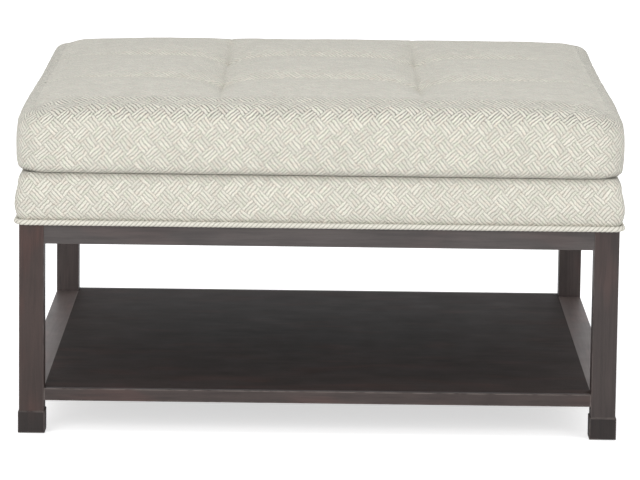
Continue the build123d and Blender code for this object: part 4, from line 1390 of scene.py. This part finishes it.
class OTTOMAN_OT_frame_finish(bpy.types.Operator):
    """Stain the leg frame and the shelf."""

    bl_idname = "ottoman.frame_finish"
    bl_label = "Leg frame and shelf"

    def execute(self, context):
        def stain(node, axis, **how):
            paint(node, stained_wood(node, axis, **how))

        for corner, tone in zip(CORNERS, (0.66, 0.78, 1.08, 1.08)):
            grey = -0.5 if corner == "front_left" else 0.1
            stain("leg_" + corner, "Z", tone=tone, roughness=0.46, wear=0.25, grey=grey)
            stain("foot_block_" + corner, "Z", tone=0.35, roughness=0.46, gloss=0.30)
        # partly painted reflection: the aprons' stain is lighter and greyer than the legs', standing in for the
        # light they reflect as well as their own tone
        for side in SIDES:
            stain("apron_" + side, SIDE_GRAIN[side], tone=1.18, gloss=0.40, wear=0.2, grey=0.5)
        # painted reflection: the shelf rails' stain is made two and a half times lighter, standing in for the light
        # that their glossy faces reflect
        for side in ("left", "right"):
            stain("shelf_rail_" + side, "Y", tone=2.5, roughness=0.40, gloss=0.7, wear=0.35, grey=0.2)
        for side in ("front", "rear"):
            stain("shelf_edging_" + side, "X", tone=0.80, wear=0.6)
        stain("shelf_panel", "X", tone=0.66, roughness=0.60, gloss=0.12, wear=0.0, coat=0.0)
        return {"FINISHED"}


class OTTOMAN_OT_inner_finish(bpy.types.Operator):
    """Finish the pieces inside the table."""

    bl_idname = "ottoman.inner_finish"
    bl_label = "Inner pieces"

    def execute(self, context):
        for corner in CORNERS:
            paint("corner_block_" + corner, material(plain_wood, "X"))
            paint("deck_corner_block_" + corner, material(plain_wood, "Z"))
        for side in SIDES:
            paint("deck_rail_" + side, material(plain_wood, SIDE_GRAIN[side]))
        for node, axis in (
            ("deck_brace", "Y"), ("foot_dowels", "Z"), ("shelf_panel_dowels", "X"), ("shelf_rail_dowels", "X"),
        ):
            paint(node, material(plain_wood, axis))
        for board in ("deck_board", "cushion_board"):
            paint(board, material(plywood_material))
        for carrier in ("deck_board", "deck_rail", "cushion", "corner_block", "deck_fixing"):
            paint(carrier + "_screws", material(zinc_material))
        paint("foot_glides", speckled(
            "Glide Nylon", (0.045, 0.032, 0.026), (0.07, 0.05, 0.04), 300.0, 0.00008, Roughness=0.5
        ))
        paint("tuft_toggles", speckled(
            "Toggle Plastic", (0.02, 0.02, 0.02), (0.04, 0.04, 0.04), 300.0, 0.00005, Roughness=0.45
        ))
        paint("tuft_twines", material(thread_material))
        return {"FINISHED"}


class OTTOMAN_OT_stage(bpy.types.Operator):
    """Make the floor, the lights and the camera."""

    bl_idname = "ottoman.stage"
    bl_label = "Stage"

    light_size: length("Light size", "Side of each square light", 3.0)
    light_aim: length("Light aim", "Height that the lights point at", 0.3)

    def floor(self, scene, sizes):
        """A wide pale floor that glows a little, so that it goes white behind the table."""
        reach = sizes.floor_size / 2
        mesh = bpy.data.meshes.new("floor")
        corners = [(-reach, -reach, 0), (reach, -reach, 0), (reach, reach, 0), (-reach, reach, 0)]
        mesh.from_pydata(corners, [], [(0, 1, 2, 3)])
        floor = bpy.data.objects.new("floor", mesh)
        scene.collection.objects.link(floor)
        made, tree, shader = new_material("Studio Floor")
        for title, value in (
            ("Base Color", rgba(sizes.floor_colour)), ("Roughness", 0.9), ("Specular IOR Level", 0.0),
            ("Emission Color", (1, 1, 1, 1)),
        ):
            shader.inputs[title].default_value = value
        seen = tree.add("ShaderNodeLightPath").outputs["Is Camera Ray"]
        tree.link(tree.between(seen, 0.10, 0.62), shader.inputs["Emission Strength"])
        mesh.materials.append(made)

    def world(self, scene):
        """A white world, a little brighter to the camera than on the table."""
        world = bpy.data.worlds.new("Studio")
        scene.world = world
        world.use_nodes = True
        sky = next(node for node in world.node_tree.nodes if node.type == "BACKGROUND")
        sky.inputs["Color"].default_value = (0.985, 0.99, 1.0, 1)
        air = Tree(world.node_tree)
        seen = air.add("ShaderNodeLightPath").outputs["Is Camera Ray"]
        air.link(air.between(seen, 0.72, 1.05), sky.inputs["Strength"])

    def lights(self, scene):
        """Three soft square lights."""
        for name, place, power in (
            ("key", (-2.2, -5.5, 2.6), 120.0), ("fill", (3.4, -4.6, 2.0), 60.0), ("top", (0.0, -1.4, 4.0), 32.0),
        ):
            light = bpy.data.lights.new(name, "AREA")
            light.shape, light.size, light.energy = "SQUARE", self.light_size, power
            lamp = bpy.data.objects.new(name, light)
            lamp.location = place
            aim = Vector((0, 0, self.light_aim)) - Vector(place)
            lamp.rotation_euler = aim.to_track_quat("-Z", "Y").to_euler()
            lamp.visible_camera = False
            scene.collection.objects.link(lamp)

    def camera(self, scene, sizes):
        """The camera at the photograph's place and angle."""
        lens = bpy.data.cameras.new("camera")
        lens.lens, lens.sensor_width, lens.clip_end = sizes.camera_lens, 36.0, 200.0
        camera = bpy.data.objects.new("camera", lens)
        camera.location = sizes.camera_place
        look = Matrix.Rotation(sizes.camera_yaw, 3, "Z") @ Matrix.Rotation(math.pi / 2 - sizes.camera_pitch, 3, "X")
        camera.rotation_euler = (look @ Matrix.Rotation(sizes.camera_roll, 3, "Z")).to_euler()
        scene.collection.objects.link(camera)
        scene.camera = camera

    def execute(self, context):
        scene, sizes = context.scene, settings("stage")
        self.floor(scene, sizes)
        self.world(scene)
        self.lights(scene)
        self.camera(scene, sizes)
        scene.view_settings.view_transform = "Standard"
        return {"FINISHED"}


class OTTOMAN_PT_panel(bpy.types.Panel):
    """Lists the table's pieces."""

    bl_label = "Ottoman"
    bl_idname = "OTTOMAN_PT_panel"
    bl_space_type = "VIEW_3D"
    bl_region_type = "UI"
    bl_category = "Ottoman"

    def draw(self, context):
        for made in OPERATORS:
            self.layout.operator(made.bl_idname)


GROUPS_OF_SETTINGS = {
    "cushion": OTTOMAN_PG_cushion,
    "border": OTTOMAN_PG_border,
    "welt": OTTOMAN_PG_welt,
    "fabric": OTTOMAN_PG_fabric,
    "wood": OTTOMAN_PG_wood,
    "stage": OTTOMAN_PG_stage,
}
OPERATORS = (
    OTTOMAN_OT_stage,
    OTTOMAN_OT_cushion,
    OTTOMAN_OT_tuft_twines,
    OTTOMAN_OT_border,
    OTTOMAN_OT_welt,
    OTTOMAN_OT_screws,
    OTTOMAN_OT_dust_cover,
    OTTOMAN_OT_frame_finish,
    OTTOMAN_OT_inner_finish,
)


def register():
    """Registers the classes and hangs the groups of sizes on the scene."""
    for made in (*GROUPS_OF_SETTINGS.values(), *OPERATORS, OTTOMAN_PT_panel):
        bpy.utils.register_class(made)
    for name, made in GROUPS_OF_SETTINGS.items():
        setattr(bpy.types.Scene, "ottoman_" + name, bpy.props.PointerProperty(type=made))


def unregister():
    """Takes them off again."""
    for name in GROUPS_OF_SETTINGS:
        delattr(bpy.types.Scene, "ottoman_" + name)
    for made in reversed((*GROUPS_OF_SETTINGS.values(), *OPERATORS, OTTOMAN_PT_panel)):
        bpy.utils.unregister_class(made)


def main():
    register()
    bpy.ops.ottoman.stage()
    bpy.ops.ottoman.cushion()
    bpy.ops.ottoman.tuft_twines()
    bpy.ops.ottoman.border()
    bpy.ops.ottoman.welt()
    bpy.ops.ottoman.screws()
    bpy.ops.ottoman.dust_cover()
    bpy.ops.ottoman.frame_finish()
    bpy.ops.ottoman.inner_finish()


if __name__ == "__main__":
    main()
